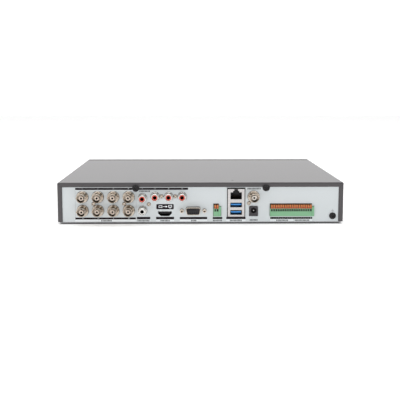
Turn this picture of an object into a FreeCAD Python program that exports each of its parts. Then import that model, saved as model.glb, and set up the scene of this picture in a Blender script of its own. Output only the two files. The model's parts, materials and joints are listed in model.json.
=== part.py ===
import FreeCAD, Part
import math
import os

# Eight-channel digital video recorder, a desktop box with its connector panel facing +Y and its
# bezel facing -Y.  The origin is the middle of the footprint, on the surface it stands on.
# Seen from the rear, +X is on the left.

V = FreeCAD.Vector
ALONG_X = V(1, 0, 0)
ALONG_Y = V(0, 1, 0)
ALONG_Z = V(0, 0, 1)

# ---- enclosure ----
BODY_WIDTH = 316.6
BODY_DEPTH = 242.0              # bezel face to the cover's rear edge
COVER_TOP = 46.5
FOOT_HEIGHT = 1.5
REAR_REACH = 12.0               # video sockets beyond the cover's rear edge
SHEET = 1.0
HALF_WIDTH = BODY_WIDTH / 2
REAR_Y = (BODY_DEPTH - REAR_REACH) / 2
FRONT_Y = REAR_Y - BODY_DEPTH
BEZEL_DEPTH = 13.7
BEZEL_REAR_Y = FRONT_Y + BEZEL_DEPTH
COVER_FRONT_Y = BEZEL_REAR_Y + 0.2
COVER_BOTTOM = 2.5
COVER_BEND = 1.6
LIP_SIDE = 5.05                 # width of the cover's rear lip at the sides
LIP_TOP = 4.95                  # and along the top
SEAM = 0.25                     # open mitre at the lip's corners
BASE_HALF = HALF_WIDTH - SHEET - 0.2
BASE_BEND = 2.4
REAR_BEND = 0.8                 # tighter fold between the floor and the rear panel
FLOOR_Z = FOOT_HEIGHT + SHEET
WALL_TOP = COVER_TOP - SHEET - 0.4
FLANGE_TOP = 14.5
PANEL_Y = REAR_Y - SHEET - 0.2  # outer face of the rear panel
PANEL_INNER_Y = PANEL_Y - SHEET
FILM = 0.15
FILM_MARGIN = 0.25              # film openings beyond the sockets in them
LABEL_Y = PANEL_Y + FILM
TRAY_FRONT_Y = BEZEL_REAR_Y + 0.3
FOOT_RADIUS = 8.0
FOOT_X = 132.0
FOOT_Y = 92.0
SLOT_COUNT = 13
SLOT_PITCH = 6.0
SLOT_WIDTH = 2.4
SLOT_LOW = 14.0
SLOT_HIGH = 34.0
DIMPLE = (-35.9, REAR_Y - 17.0)  # spot-weld mark on the lid

# ---- rear connectors, (x, z) of each axis ----
VIDEO_COLUMNS = [130.7 - 17.0 * column for column in range(4)]
VIDEO_ROWS = (30.4, 15.1)
VIDEO_IN = [(x, z) for z in VIDEO_ROWS for x in VIDEO_COLUMNS]
VIDEO_OUT = (-58.5, 30.6)
AUDIO_IN = [(64.4, 29.3), (50.5, 30.9), (35.5, 30.9), (20.6, 30.9)]
AUDIO_OUT = (64.4, 15.4)
COVER_SCREWS = [(-72.3, 40.7), (71.7, 40.5)]
GROUND_SCREW = (-146.6, 8.7)
BRACKET_SCREWS = [(118.6, 22.6), (84.6, 22.6), (57.5, 22.2), (43.3, 31.0), (28.1, 31.0), (-53.5, 23.2)]
COVER_SCREW_HEAD = 3.95            # head radii
GROUND_SCREW_HEAD = 3.6
BRACKET_SCREW_HEAD = 2.1
HEAD_CLEARANCE = 0.2               # between a head and the film round it
HOUSING_FRONT_Y = PANEL_INNER_Y - 0.2

VIDEO_BASE_RADIUS = 6.5
VIDEO_STEP_RADIUS = 5.6
VIDEO_BARREL_RADIUS = 4.8
VIDEO_BORE_RADIUS = 4.05
VIDEO_TIP_Y = REAR_Y + REAR_REACH
VIDEO_BASE_Y = REAR_Y + 1.5
VIDEO_STEP_Y = REAR_Y + 2.6
VIDEO_LUG_Y = VIDEO_TIP_Y - 3.6
INSULATOR_RADIUS = 2.55
INSULATOR_TIP_Y = VIDEO_TIP_Y - 2.6
CONTACT_RADIUS = 1.05
CONTACT_HOLE_RADIUS = 0.7

AUDIO_BASE_RADIUS = 4.9
AUDIO_SHELL_RADIUS = 4.15
AUDIO_INSERT_RADIUS = 3.1
AUDIO_HOLE_RADIUS = 2.0
AUDIO_TIP_Y = REAR_Y + 9.2
AUDIO_BASE_Y = REAR_Y + 0.9

# ---- digital video port, a trapezoid under a straight-sided band ----
PORT_X = 39.7
PORT_TOP_Z = 14.0
PORT_SHOULDER_Z = 11.9
PORT_BOTTOM_Z = 9.0
PORT_HALF_TOP = 7.5
PORT_HALF_BOTTOM = 4.35

# ---- D-shaped monitor socket ----
DSUB_X = 8.4
DSUB_Z = 15.1
DSUB_WIDTH = 16.9
DSUB_HEIGHT = 8.1
DSUB_TAPER = 0.75               # half-width lost from top to bottom
DSUB_CORNER = 2.2
DSUB_WALL = 0.5
DSUB_REACH = 5.6
POST_SPACING = 25.0
POST_RADIUS = 2.05
POST_HOLE_RADIUS = 1.25
POST_LENGTH = 5.0

# ---- network and USB tower ----
TOWER_X = -39.2
TOWER_WIDTH = 19.2
TOWER_LOW = 8.2
TOWER_HIGH = 39.6
TOWER_FRONT_Y = REAR_Y - 0.4
TOWER_DEPTH = 24.0
TOWER_SHEET = 0.5
NET_WIDTH = 12.6
NET_LOW = 27.6
NET_HIGH = 35.4
NET_STEP_WIDTH = 6.8
NET_STEP_HIGH = 37.1
NET_NOTCH_WIDTH = 4.2
NET_NOTCH_HIGH = 38.9
NET_DEPTH = 13.0
USB_WIDTH = 13.0
USB_HEIGHT = 5.3
USB_LOWS = (18.6, 10.2)
USB_DEPTH = 13.5
TONGUE_LOW = 2.6                 # tongue above the opening's floor
TONGUE_THICK = 1.3
TOWER_GAP = 0.7                  # extra clearance over the tower in the panel

# ---- power jack ----
JACK_X = -58.6
JACK_WIDTH = 9.4
JACK_LOW = 8.8
JACK_HIGH = 19.8
JACK_HOLE_Z = 15.2
JACK_HOLE_RADIUS = 3.2
JACK_FRONT_Y = REAR_Y + 0.5

# ---- spring terminals ----
LEVER_PITCH = 2.54
LEVER_WIDTH = 1.96
LEVER_SLOT = 2.28
LEVER_LOW = 17.5
LEVER_HIGH = 21.5
LEVER_BACK_Y = REAR_Y - 7.0
LEVER_NOSE_Y = REAR_Y + 2.3
LEVER_TRAVEL = 1.5
TERMINAL_BACK_Y = REAR_Y - 15.0
TERMINAL_FACE_Y = REAR_Y + 1.2
TERMINAL_HIGH = 21.9
TERMINAL_LOW = 8.8
TERMINAL_EDGE = 0.6             # body beyond the first lever
TERMINAL_GAP = 0.6              # extra clearance over the levers in the panel
LEVER_RELIEF = 3.2              # the walls between levers stand this far behind the face
END_PLATE_WIDTH = 2.4
END_PLATE_HIGH = 19.7
WIRE_HOLE_WIDTH = 1.85
WIRE_HOLE_HEIGHT = 2.2
WIRE_HOLE_Z = 15.75
ALARM_FIRST_X = -78.75
ALARM_COUNT = 18
SERIAL_FIRST_X = -16.05
SERIAL_COUNT = 2

# ---- boards ----
BOARD_TOP = 8.0
BOARD_THICKNESS = 1.6
BOARD_BOTTOM = BOARD_TOP - BOARD_THICKNESS
BOARD_HALF_WIDTH = 147.0
BOARD_FRONT_Y = 14.0
BOARD_REAR_Y = REAR_Y - 3.2
STANDOFFS = [(x, y) for x in (-141.0, -4.0, 141.0) for y in (20.0, 82.0)]
FRONT_BOARD_Y = TRAY_FRONT_Y - 1.3
FRONT_BOARD_LOW = 12.0
FRONT_BOARD_HIGH = 32.0
FRONT_BOARD_X = 142.0
FRONT_STANDOFFS = [(-138.0, 28.5), (0.0, 28.5), (138.0, 28.5)]
RIBBON_X = 100.0
RIBBON_SOCKET = 3.0               # depth of the ribbon's socket on the front board
CHIP_X = -5.0
CHIP_Y = 52.0
SINK_SIDE = 44.0
SINK_TOP = 30.0

# ---- front of the box ----
BEZEL_LOW = 1.8
BEZEL_WALL = 2.3
WINDOW_X = (-142.0, -52.0)
WINDOW_Z = (17.0, 33.0)
FRONT_USB_X = 126.0
FRONT_USB_Z = 22.0
SNAP_X = (-98.0, -30.0, 38.0, 120.0)

# ---- hard disk drive ----
DRIVE_LENGTH = 147.0
DRIVE_WIDTH = 101.6
DRIVE_HEIGHT = 26.1
DRIVE_X0 = -148.0
DRIVE_Y0 = -109.0
DRIVE_Z0 = 5.5
DRIVE_LID = 2.6
SPINDLE_X = DRIVE_X0 + 52.0
SPINDLE_Y = DRIVE_Y0 + DRIVE_WIDTH / 2
PLATTER_RADIUS = 47.5
PIVOT_X = SPINDLE_X + 56.0
PIVOT_Y = SPINDLE_Y + 27.0
ARM_LENGTH = 50.0
HEAD_TRACK = 44.5               # the heads' distance from the spindle at rest, on the outer track
DRIVE_SCREWS = [(DRIVE_X0 + x, DRIVE_Y0 + y) for x in (29.0, 105.0) for y in (3.2, 98.4)]

# ---- fan on the side wall ----
FAN_SIDE = 40.0
FAN_DEPTH = 10.0
FAN_Y = -56.0
FAN_Z = 24.0
FAN_X1 = BASE_HALF - SHEET
FAN_X0 = FAN_X1 - FAN_DEPTH
FAN_BORE = 18.6
FAN_BLADE_RADIUS = 17.9
FAN_HOLE_SPACING = 32.0
FAN_SHAFT_RADIUS = 1.0


# ---------------------------------------------------------------- helpers

def box(x0, x1, y0, y1, z0, z1):
    return Part.makeBox(x1 - x0, y1 - y0, z1 - z0, V(x0, y0, z0))


def cyl_x(radius, y, z, x0, x1):
    return Part.makeCylinder(radius, x1 - x0, V(x0, y, z), ALONG_X)


def cyl_y(radius, x, z, y0, y1):
    return Part.makeCylinder(radius, y1 - y0, V(x, y0, z), ALONG_Y)


def cyl_z(radius, x, y, z0, z1):
    return Part.makeCylinder(radius, z1 - z0, V(x, y, z0), ALONG_Z)


def cone_y(radius0, radius1, x, z, y0, y1):
    return Part.makeCone(radius0, radius1, y1 - y0, V(x, y0, z), ALONG_Y)


def fuse(shapes):
    shapes = list(shapes)
    return shapes[0].multiFuse(shapes[1:]).removeSplitter() if len(shapes) > 1 else shapes[0]


def cut(shape, tools):
    return shape.cut(Part.makeCompound(list(tools)))


def prism(points, direction):
    """Polygon through the points, extruded by the vector."""
    wire = Part.makePolygon(list(points) + [points[0]])
    return Part.Face(wire).extrude(direction)


def prism_y(outline, y0, y1):
    return prism([V(x, y0, z) for x, z in outline], V(0, y1 - y0, 0))


def prism_x(outline, x0, x1):
    return prism([V(x0, y, z) for y, z in outline], V(x1 - x0, 0, 0))


def prism_z(outline, z0, z1):
    return prism([V(x, y, z0) for x, y in outline], V(0, 0, z1 - z0))


def fillet(shape, radius, wanted):
    """Round the edges whose bounding box satisfies wanted(box)."""
    edges = [edge for edge in shape.Edges if wanted(edge.BoundBox)]
    return shape.makeFillet(radius, edges)


def runs_along_y(bounds):
    return bounds.YLength > 0.3 and bounds.XLength < 0.01 and bounds.ZLength < 0.01


def runs_along_x(bounds):
    return bounds.XLength > 0.3 and bounds.YLength < 0.01 and bounds.ZLength < 0.01


def runs_along_z(bounds):
    return bounds.ZLength > 0.3 and bounds.XLength < 0.01 and bounds.YLength < 0.01


def rounded_y(x0, x1, y0, y1, z0, z1, radius):
    """Block whose four edges along Y are rounded."""
    return fillet(box(x0, x1, y0, y1, z0, z1), radius, runs_along_y)


def phillips_y(x, z, y_top, size):
    """Cross-shaped driver recess sunk into a head that faces +Y."""
    depth = size * 0.35
    arm = size * 0.19
    across = box(x - size / 2, x + size / 2, y_top - depth, y_top + 1, z - arm, z + arm)
    upright = box(x - arm, x + arm, y_top - depth, y_top + 1, z - size / 2, z + size / 2)
    return across.fuse(upright)


def pan_screw_y(x, z, seat_y, head_radius, head_height, shank_radius, length):
    """Pan-head screw whose head sits on the plane seat_y and faces +Y."""
    head = cyl_y(head_radius, x, z, seat_y, seat_y + head_height)
    head = fillet(head, head_height * 0.45, lambda b: b.YMin > seat_y + head_height - 0.1)
    head = head.cut(phillips_y(x, z, seat_y + head_height, head_radius * 1.3))
    return fuse([head, cyl_y(shank_radius, x, z, seat_y - length, seat_y)])


def pan_screw_z(x, y, seat_z, head_radius, head_height, shank_radius, length, up=1):
    """Plain pan-head screw along Z; up is 1 for a head above its seat and -1 for one below."""
    head = Part.makeCylinder(head_radius, head_height, V(x, y, seat_z), V(0, 0, up))
    shank = Part.makeCylinder(shank_radius, length, V(x, y, seat_z), V(0, 0, -up))
    slot = Part.makeBox(head_radius * 1.2, 0.8, head_height,
                        V(x - head_radius * 0.6, y - 0.4, seat_z + up * head_height - head_height / 2))
    return fuse([head, shank]).cut(slot)


def bent_rod(points, radius, bend):
    """Round lead through the points: straight runs joined by tangent arcs of radius bend."""
    points = [V(*p) for p in points]
    edges = []
    start = points[0]
    for before, corner, after in zip(points, points[1:], points[2:]):
        to_corner = (corner - before).normalize()
        from_corner = (after - corner).normalize()
        half_turn = to_corner.getAngle(from_corner) / 2
        reach = bend * math.tan(half_turn)
        arc_start = corner - to_corner * reach
        arc_end = corner + from_corner * reach
        inward = (from_corner - to_corner).normalize()
        centre = corner + inward * (bend / math.cos(half_turn))
        arc_middle = centre - inward * bend
        edges.append(Part.LineSegment(start, arc_start).toShape())
        edges.append(Part.Arc(arc_start, arc_middle, arc_end).toShape())
        start = arc_end
    edges.append(Part.LineSegment(start, points[-1]).toShape())
    path = Part.Wire(edges)
    profile = Part.Wire([Part.makeCircle(radius, points[0], (points[1] - points[0]).normalize())])
    return path.makePipeShell([profile], True, False)


def save(name, *shapes):
    """Write one node: a single solid, or a group of separate solids."""
    solids = [solid for shape in shapes for solid in shape.Solids]
    for solid in solids:
        if not solid.isValid():
            print("invalid solid in", name)
    node = solids[0] if len(solids) == 1 else Part.makeCompound(solids)
    node.exportStep("parts/" + name + ".step")
    print(name, len(solids), "solids", round(sum(s.Volume for s in solids) / 1000, 2), "cm3")


# ---------------------------------------------------------------- outlines used by several pieces

def port_outline(margin):
    """Digital video port: straight upper band, tapering lower half."""
    top = PORT_HALF_TOP + margin
    bottom = PORT_HALF_BOTTOM + margin
    return [
        (PORT_X - top, PORT_TOP_Z + margin),
        (PORT_X + top, PORT_TOP_Z + margin),
        (PORT_X + top, PORT_SHOULDER_Z - margin / 2),
        (PORT_X + bottom, PORT_BOTTOM_Z - margin),
        (PORT_X - bottom, PORT_BOTTOM_Z - margin),
        (PORT_X - top, PORT_SHOULDER_Z - margin / 2),
    ]


def dsub_block(margin, y0, y1):
    """D-shaped block with rounded corners, wider at the top."""
    half = DSUB_WIDTH / 2 + margin
    low = DSUB_Z - DSUB_HEIGHT / 2 - margin
    high = DSUB_Z + DSUB_HEIGHT / 2 + margin
    outline = [
        (DSUB_X - half, high),
        (DSUB_X + half, high),
        (DSUB_X + half - 2 * DSUB_TAPER, low),
        (DSUB_X - half + 2 * DSUB_TAPER, low),
    ]
    block = prism_y(outline, y0, y1)
    return fillet(block, DSUB_CORNER + margin, runs_along_y)


def tower_block(margin, y0, y1):
    half = TOWER_WIDTH / 2 + margin
    return box(TOWER_X - half, TOWER_X + half, y0, y1, TOWER_LOW - margin, TOWER_HIGH + margin)


def jack_block(margin, y0, y1):
    half = JACK_WIDTH / 2 + margin
    block = box(JACK_X - half, JACK_X + half, y0, y1, JACK_LOW - margin, JACK_HIGH + margin)
    return fillet(block, 1.4, lambda b: runs_along_y(b) and b.ZMin > JACK_HOLE_Z)


def terminal_span(first_x, count):
    """Low and high x of a terminal's lever stretch; the row runs towards -X."""
    high = first_x + LEVER_PITCH / 2
    return high - LEVER_PITCH * count, high


def terminal_opening(first_x, count, margin, y0, y1):
    """Hole for a spring terminal, lower over the closing plate than over the levers."""
    low, high = terminal_span(first_x, count)
    levers = box(low - margin, high + TERMINAL_EDGE + margin, y0, y1,
                 TERMINAL_LOW - margin, TERMINAL_HIGH + TERMINAL_GAP + margin)
    plate = box(low - END_PLATE_WIDTH - margin, high, y0, y1,
                TERMINAL_LOW - margin, END_PLATE_HIGH + margin)
    return levers.fuse(plate)


def network_cavity(margin, y0, y1):
    """Stepped opening of the network socket, keyed for its latch at the top."""
    return fuse([
        box(TOWER_X - NET_WIDTH / 2 - margin, TOWER_X + NET_WIDTH / 2 + margin, y0, y1,
            NET_LOW - margin, NET_HIGH + margin),
        box(TOWER_X - NET_STEP_WIDTH / 2 - margin, TOWER_X + NET_STEP_WIDTH / 2 + margin, y0, y1,
            NET_HIGH - 1, NET_STEP_HIGH + margin),
        box(TOWER_X - NET_NOTCH_WIDTH / 2 - margin, TOWER_X + NET_NOTCH_WIDTH / 2 + margin, y0, y1,
            NET_HIGH - 1, NET_NOTCH_HIGH + margin),
    ])


def panel_openings(margin, y0, y1):
    """Everything that passes through the rear panel and its printed film."""
    holes = [cyl_y(VIDEO_BASE_RADIUS + margin, x, z, y0, y1) for x, z in VIDEO_IN + [VIDEO_OUT]]
    holes += [cyl_y(AUDIO_BASE_RADIUS + margin, x, z, y0, y1) for x, z in AUDIO_IN + [AUDIO_OUT]]
    holes += [cyl_y(1.45 + margin, x, z, y0, y1) for x, z in BRACKET_SCREWS]
    holes += [cyl_y(1.75 + margin, x, z, y0, y1) for x, z in COVER_SCREWS + [GROUND_SCREW]]
    holes += [cyl_y(1.6 + margin, DSUB_X + side * POST_SPACING / 2, DSUB_Z, y0, y1) for side in (-1, 1)]
    holes.append(prism_y(port_outline(margin - 0.1), y0, y1))
    holes.append(dsub_block(margin, y0, y1))
    holes.append(tower_block(margin + 0.2, y0, y1))
    tower_half = TOWER_WIDTH / 2 + 0.2 + margin
    holes.append(box(TOWER_X - tower_half, TOWER_X + tower_half, y0, y1,
                     TOWER_HIGH, TOWER_HIGH + TOWER_GAP + margin))
    holes.append(jack_block(margin, y0, y1))
    holes.append(terminal_opening(ALARM_FIRST_X, ALARM_COUNT, margin + 0.1, y0, y1))
    holes.append(terminal_opening(SERIAL_FIRST_X, SERIAL_COUNT, margin + 0.1, y0, y1))
    return holes


# ---------------------------------------------------------------- enclosure

def bottom_bends(bounds):
    at_floor = bounds.ZMax < FLOOR_Z + 0.1
    return at_floor and (runs_along_y(bounds) or (runs_along_x(bounds) and bounds.YMax < 0))


def rear_fold():
    """What the fold takes off the square corner between the floor and the rear panel."""
    corner = box(-HALF_WIDTH, HALF_WIDTH, PANEL_Y - REAR_BEND, PANEL_Y + 1,
                 FOOT_HEIGHT - 1, FOOT_HEIGHT + REAR_BEND)
    return corner.cut(cyl_x(REAR_BEND, PANEL_Y - REAR_BEND, FOOT_HEIGHT + REAR_BEND,
                            -HALF_WIDTH - 1, HALF_WIDTH + 1))


def chassis_base():
    """Folded tray: floor, rear panel, front wall, low side flanges and the fan's wall."""
    outer = box(-BASE_HALF, BASE_HALF, TRAY_FRONT_Y, PANEL_Y, FOOT_HEIGHT, WALL_TOP)
    outer = fillet(outer, BASE_BEND, bottom_bends).cut(rear_fold())
    inner = box(-BASE_HALF + SHEET, BASE_HALF - SHEET, TRAY_FRONT_Y + SHEET, PANEL_INNER_Y,
                FLOOR_Z, WALL_TOP + 1)
    inner = fillet(inner, BASE_BEND - SHEET, bottom_bends)
    tray = outer.cut(inner)
    y_low = TRAY_FRONT_Y + SHEET
    fan_low = FAN_Y - FAN_SIDE / 2 - 2
    fan_high = FAN_Y + FAN_SIDE / 2 + 2
    inside = BASE_HALF - SHEET
    outside = BASE_HALF + 1
    openings = [
        box(-outside, -inside, y_low, PANEL_INNER_Y, FLANGE_TOP, WALL_TOP + 1),
        box(inside, outside, y_low, fan_low, FLANGE_TOP, WALL_TOP + 1),
        box(inside, outside, fan_high, PANEL_INNER_Y, FLANGE_TOP, WALL_TOP + 1),
        cyl_x(FAN_BORE, FAN_Y, FAN_Z, inside - 1, outside),
    ]
    half_pitch = FAN_HOLE_SPACING / 2
    for dy in (-half_pitch, half_pitch):
        for dz in (-half_pitch, half_pitch):
            openings.append(cyl_x(1.6, FAN_Y + dy, FAN_Z + dz, inside - 1, outside))
    openings += panel_openings(0.2, PANEL_INNER_Y - 1, PANEL_Y + 1)
    openings += [cyl_z(1.8, x, y, FOOT_HEIGHT - 1, FLOOR_Z + 1) for x, y in DRIVE_SCREWS]
    for x in SNAP_X:
        openings.append(box(x - 6, x + 6, TRAY_FRONT_Y - 1, y_low + 1, 39.9, 42.1))
        openings.append(box(x - 6, x + 6, TRAY_FRONT_Y - 1, y_low + 1, 4.9, 7.1))
    openings.append(box(RIBBON_X - 7.5, RIBBON_X + 7.5, TRAY_FRONT_Y - 1, y_low + 1, 10, 17))
    tray = cut(tray, openings)
    bosses = [cyl_z(3.0, x, y, FLOOR_Z, BOARD_BOTTOM) for x, y in STANDOFFS]
    bosses += [cyl_z(4.0, x, y, FLOOR_Z, DRIVE_Z0) for x, y in DRIVE_SCREWS]
    bosses += [cyl_y(3.0, x, z, FRONT_BOARD_Y, TRAY_FRONT_Y) for x, z in FRONT_STANDOFFS]
    bosses += [cyl_y(3.4, x, z, PANEL_INNER_Y - 3, PANEL_INNER_Y) for x, z in COVER_SCREWS + [GROUND_SCREW]]
    tray = fuse([tray] + bosses)
    bores = [cyl_z(1.45, x, y, FLOOR_Z, BOARD_BOTTOM + 1) for x, y in STANDOFFS]
    bores += [cyl_z(1.8, x, y, FLOOR_Z - 1, DRIVE_Z0 + 1) for x, y in DRIVE_SCREWS]
    bores += [cyl_y(1.45, x, z, FRONT_BOARD_Y - 1, TRAY_FRONT_Y) for x, z in FRONT_STANDOFFS]
    bores += [cyl_y(1.75, x, z, PANEL_INNER_Y - 4, PANEL_INNER_Y) for x, z in COVER_SCREWS + [GROUND_SCREW]]
    return cut(tray, bores)


def lip_mitre(side):
    """Narrow slit from the lip's inner corner towards its outer one."""
    corner = V(side * (HALF_WIDTH - LIP_SIDE), REAR_Y - 2, COVER_TOP - LIP_TOP)
    slit = Part.makeBox(5.6, 3, SEAM, V(-0.3, 0, -SEAM / 2))
    slit.rotate(V(0, 0, 0), ALONG_Y, -math.degrees(math.atan2(LIP_TOP, LIP_SIDE)))
    if side < 0:
        slit = slit.mirror(V(0, 0, 0), ALONG_X)
    slit.translate(corner)
    return slit


def top_cover():
    """U-shaped lid with a lip that frames the rear panel; vent slots in both sides."""
    def bends(bounds):
        upper = bounds.ZMin > COVER_TOP - 2
        rear = bounds.YMin > REAR_Y - 2
        return (upper and runs_along_y(bounds)) or (rear and upper and runs_along_x(bounds)) \
            or (rear and runs_along_z(bounds))

    outer = box(-HALF_WIDTH, HALF_WIDTH, COVER_FRONT_Y, REAR_Y, COVER_BOTTOM, COVER_TOP)
    outer = fillet(outer, COVER_BEND, bends)
    inner = box(-HALF_WIDTH + SHEET, HALF_WIDTH - SHEET, COVER_FRONT_Y - 1, REAR_Y - SHEET,
                COVER_BOTTOM - 1, COVER_TOP - SHEET)
    inner = fillet(inner, COVER_BEND - SHEET, bends)
    cover = outer.cut(inner)
    window = box(-HALF_WIDTH + LIP_SIDE, HALF_WIDTH - LIP_SIDE, REAR_Y - 2 * SHEET, REAR_Y + 1,
                 COVER_BOTTOM - 1, COVER_TOP - LIP_TOP)
    cover = cover.cut(window)
    ears = [cyl_y(3.7, x, z, REAR_Y - SHEET, REAR_Y) for x, z in COVER_SCREWS]
    cover = fuse([cover] + ears)
    tools = [cyl_y(1.95, x, z, REAR_Y - 3, REAR_Y + 1) for x, z in COVER_SCREWS]
    tools += [lip_mitre(side) for side in (-1, 1)]
    tools.append(cyl_z(1.2, *DIMPLE, COVER_TOP - 0.25, COVER_TOP + 1))
    for slot in range(SLOT_COUNT):
        y = FAN_Y + (slot - (SLOT_COUNT - 1) / 2) * SLOT_PITCH
        for side in (-1, 1):
            x0 = side * HALF_WIDTH - 2
            slit = box(x0, x0 + 4, y - SLOT_WIDTH / 2, y + SLOT_WIDTH / 2, SLOT_LOW, SLOT_HIGH)
            tools.append(fillet(slit, SLOT_WIDTH / 2 - 0.05, runs_along_x))
    return cut(cover, tools)


def front_bezel():
    """Moulded front frame, hollow behind, with snap hooks that pass through the tray's front wall."""
    def front_edges(bounds):
        return bounds.YMax < FRONT_Y + 0.01

    outer = box(-HALF_WIDTH, HALF_WIDTH, FRONT_Y, BEZEL_REAR_Y, BEZEL_LOW, COVER_TOP)
    outer = fillet(outer, COVER_BEND, lambda b: runs_along_y(b) and b.ZMin > COVER_TOP - 1)
    outer = fillet(outer, 1.2, front_edges)
    hollow = box(-HALF_WIDTH + BEZEL_WALL, HALF_WIDTH - BEZEL_WALL, FRONT_Y + BEZEL_WALL,
                 BEZEL_REAR_Y + 1, BEZEL_LOW + BEZEL_WALL, COVER_TOP - BEZEL_WALL)
    bezel = outer.cut(hollow)
    through = (FRONT_Y - 1, FRONT_Y + BEZEL_WALL + 1)
    groove = prism_x([(FRONT_Y - 0.1, 10.9), (FRONT_Y + 0.8, 11.5), (FRONT_Y + 0.8, 12.1),
                      (FRONT_Y - 0.1, 12.7)], -HALF_WIDTH - 1, HALF_WIDTH + 1)
    bezel = cut(bezel, [
        rounded_y(WINDOW_X[0], WINDOW_X[1], *through, WINDOW_Z[0], WINDOW_Z[1], 2.0),
        box(FRONT_USB_X - 7.0, FRONT_USB_X + 7.0, *through, FRONT_USB_Z - 3.3, FRONT_USB_Z + 3.3),
        groove,
    ])
    hooks = []
    for x in SNAP_X:
        hooks.append(box(x - 5, x + 5, FRONT_Y + 1, TRAY_FRONT_Y + 4, 40.2, 41.8))
        hooks.append(box(x - 5, x + 5, FRONT_Y + 1, TRAY_FRONT_Y + 4, 5.2, 6.8))
        hooks.append(prism_x([(TRAY_FRONT_Y + 1.2, 41.8), (TRAY_FRONT_Y + 1.2, 42.7),
                              (TRAY_FRONT_Y + 4, 41.8)], x - 5, x + 5))
        hooks.append(prism_x([(TRAY_FRONT_Y + 1.2, 5.2), (TRAY_FRONT_Y + 4, 5.2),
                              (TRAY_FRONT_Y + 1.2, 4.3)], x - 5, x + 5))
    return fuse([bezel] + hooks)


def front_window():
    """Smoked window over the indicators: a flush pane on a wider flange glued behind the bezel."""
    pane = rounded_y(WINDOW_X[0] + 0.15, WINDOW_X[1] - 0.15, FRONT_Y + 0.3, FRONT_Y + BEZEL_WALL + 0.6,
                     WINDOW_Z[0] + 0.15, WINDOW_Z[1] - 0.15, 1.85)
    flange = box(WINDOW_X[0] - 2, WINDOW_X[1] + 2, FRONT_Y + BEZEL_WALL, FRONT_Y + BEZEL_WALL + 1.2,
                 WINDOW_Z[0] - 2, WINDOW_Z[1] + 2)
    return fuse([pane, flange])


def rear_label():
    """Printed overlay film stuck on the rear panel inside the cover's lip."""
    film = box(-HALF_WIDTH + LIP_SIDE + 0.4, HALF_WIDTH - LIP_SIDE - 0.4, PANEL_Y, LABEL_Y,
               FOOT_HEIGHT + REAR_BEND + 0.1, COVER_TOP - LIP_TOP - 0.3)
    tools = panel_openings(FILM_MARGIN, PANEL_Y - 1, LABEL_Y + 1)
    posts = [(DSUB_X + side * POST_SPACING / 2, DSUB_Z) for side in (-1, 1)]
    for head, places in ((COVER_SCREW_HEAD, COVER_SCREWS), (GROUND_SCREW_HEAD, [GROUND_SCREW]),
                         (BRACKET_SCREW_HEAD, BRACKET_SCREWS), (POST_RADIUS, posts)):
        tools += [cyl_y(head + HEAD_CLEARANCE, x, z, PANEL_Y - 1, LABEL_Y + 1) for x, z in places]
    return cut(film, tools)


def rubber_feet():
    feet = []
    for x in (-FOOT_X, FOOT_X):
        for y in (-FOOT_Y, FOOT_Y):
            foot = cyl_z(FOOT_RADIUS, x, y, 0, FOOT_HEIGHT)
            feet.append(fillet(foot, 0.4, lambda b: b.ZMax < 0.1))
    return feet


# ---------------------------------------------------------------- video and audio sockets

def video_shell(x, z):
    """Bayonet socket: wide base through the panel, a step, and a barrel with two lugs."""
    base = cyl_y(VIDEO_BASE_RADIUS, x, z, HOUSING_FRONT_Y, VIDEO_BASE_Y)
    base = fillet(base, 0.6, lambda b: b.YMin > VIDEO_BASE_Y - 0.01)
    step = cone_y(VIDEO_STEP_RADIUS, VIDEO_STEP_RADIUS - 0.4, x, z, VIDEO_BASE_Y - 0.5, VIDEO_STEP_Y)
    barrel = cyl_y(VIDEO_BARREL_RADIUS, x, z, VIDEO_BASE_Y, VIDEO_TIP_Y)
    lugs = cyl_x(1.0, VIDEO_LUG_Y, z, x - VIDEO_BARREL_RADIUS - 1.1, x + VIDEO_BARREL_RADIUS + 1.1)
    shell = fuse([base, step, barrel, lugs])
    bore = cyl_y(VIDEO_BORE_RADIUS, x, z, VIDEO_STEP_Y, VIDEO_TIP_Y + 1)
    mouth = cone_y(VIDEO_BORE_RADIUS - 0.1, VIDEO_BORE_RADIUS + 0.45, x, z,
                   VIDEO_TIP_Y - 0.5, VIDEO_TIP_Y + 0.05)
    seat = cyl_y(INSULATOR_RADIUS, x, z, HOUSING_FRONT_Y - 1, VIDEO_STEP_Y + 1)
    return cut(shell, [bore, mouth, seat])


def video_insulator(x, z):
    body = cyl_y(INSULATOR_RADIUS - 0.05, x, z, HOUSING_FRONT_Y, INSULATOR_TIP_Y)
    body = fillet(body, 0.3, lambda b: b.YMin > INSULATOR_TIP_Y - 0.01)
    return body.cut(cyl_y(CONTACT_RADIUS + 0.05, x, z, HOUSING_FRONT_Y - 1, INSULATOR_TIP_Y + 1))


def video_contact(x, z):
    """Centre contact: a sleeve that takes the plug's pin, set just below the insulator's face."""
    tip = INSULATOR_TIP_Y - 0.35
    pin = cyl_y(CONTACT_RADIUS, x, z, HOUSING_FRONT_Y, tip)
    return pin.cut(cyl_y(CONTACT_HOLE_RADIUS, x, z, tip - 6, tip + 1))


def audio_shell(x, z):
    base = cyl_y(AUDIO_BASE_RADIUS, x, z, HOUSING_FRONT_Y, AUDIO_BASE_Y)
    base = fillet(base, 0.4, lambda b: b.YMin > AUDIO_BASE_Y - 0.01)
    barrel = cyl_y(AUDIO_SHELL_RADIUS, x, z, AUDIO_BASE_Y - 1, AUDIO_TIP_Y)
    shell = fuse([base, barrel])
    return shell.cut(cyl_y(AUDIO_INSERT_RADIUS + 0.05, x, z, HOUSING_FRONT_Y - 1, AUDIO_TIP_Y + 1))


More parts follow.
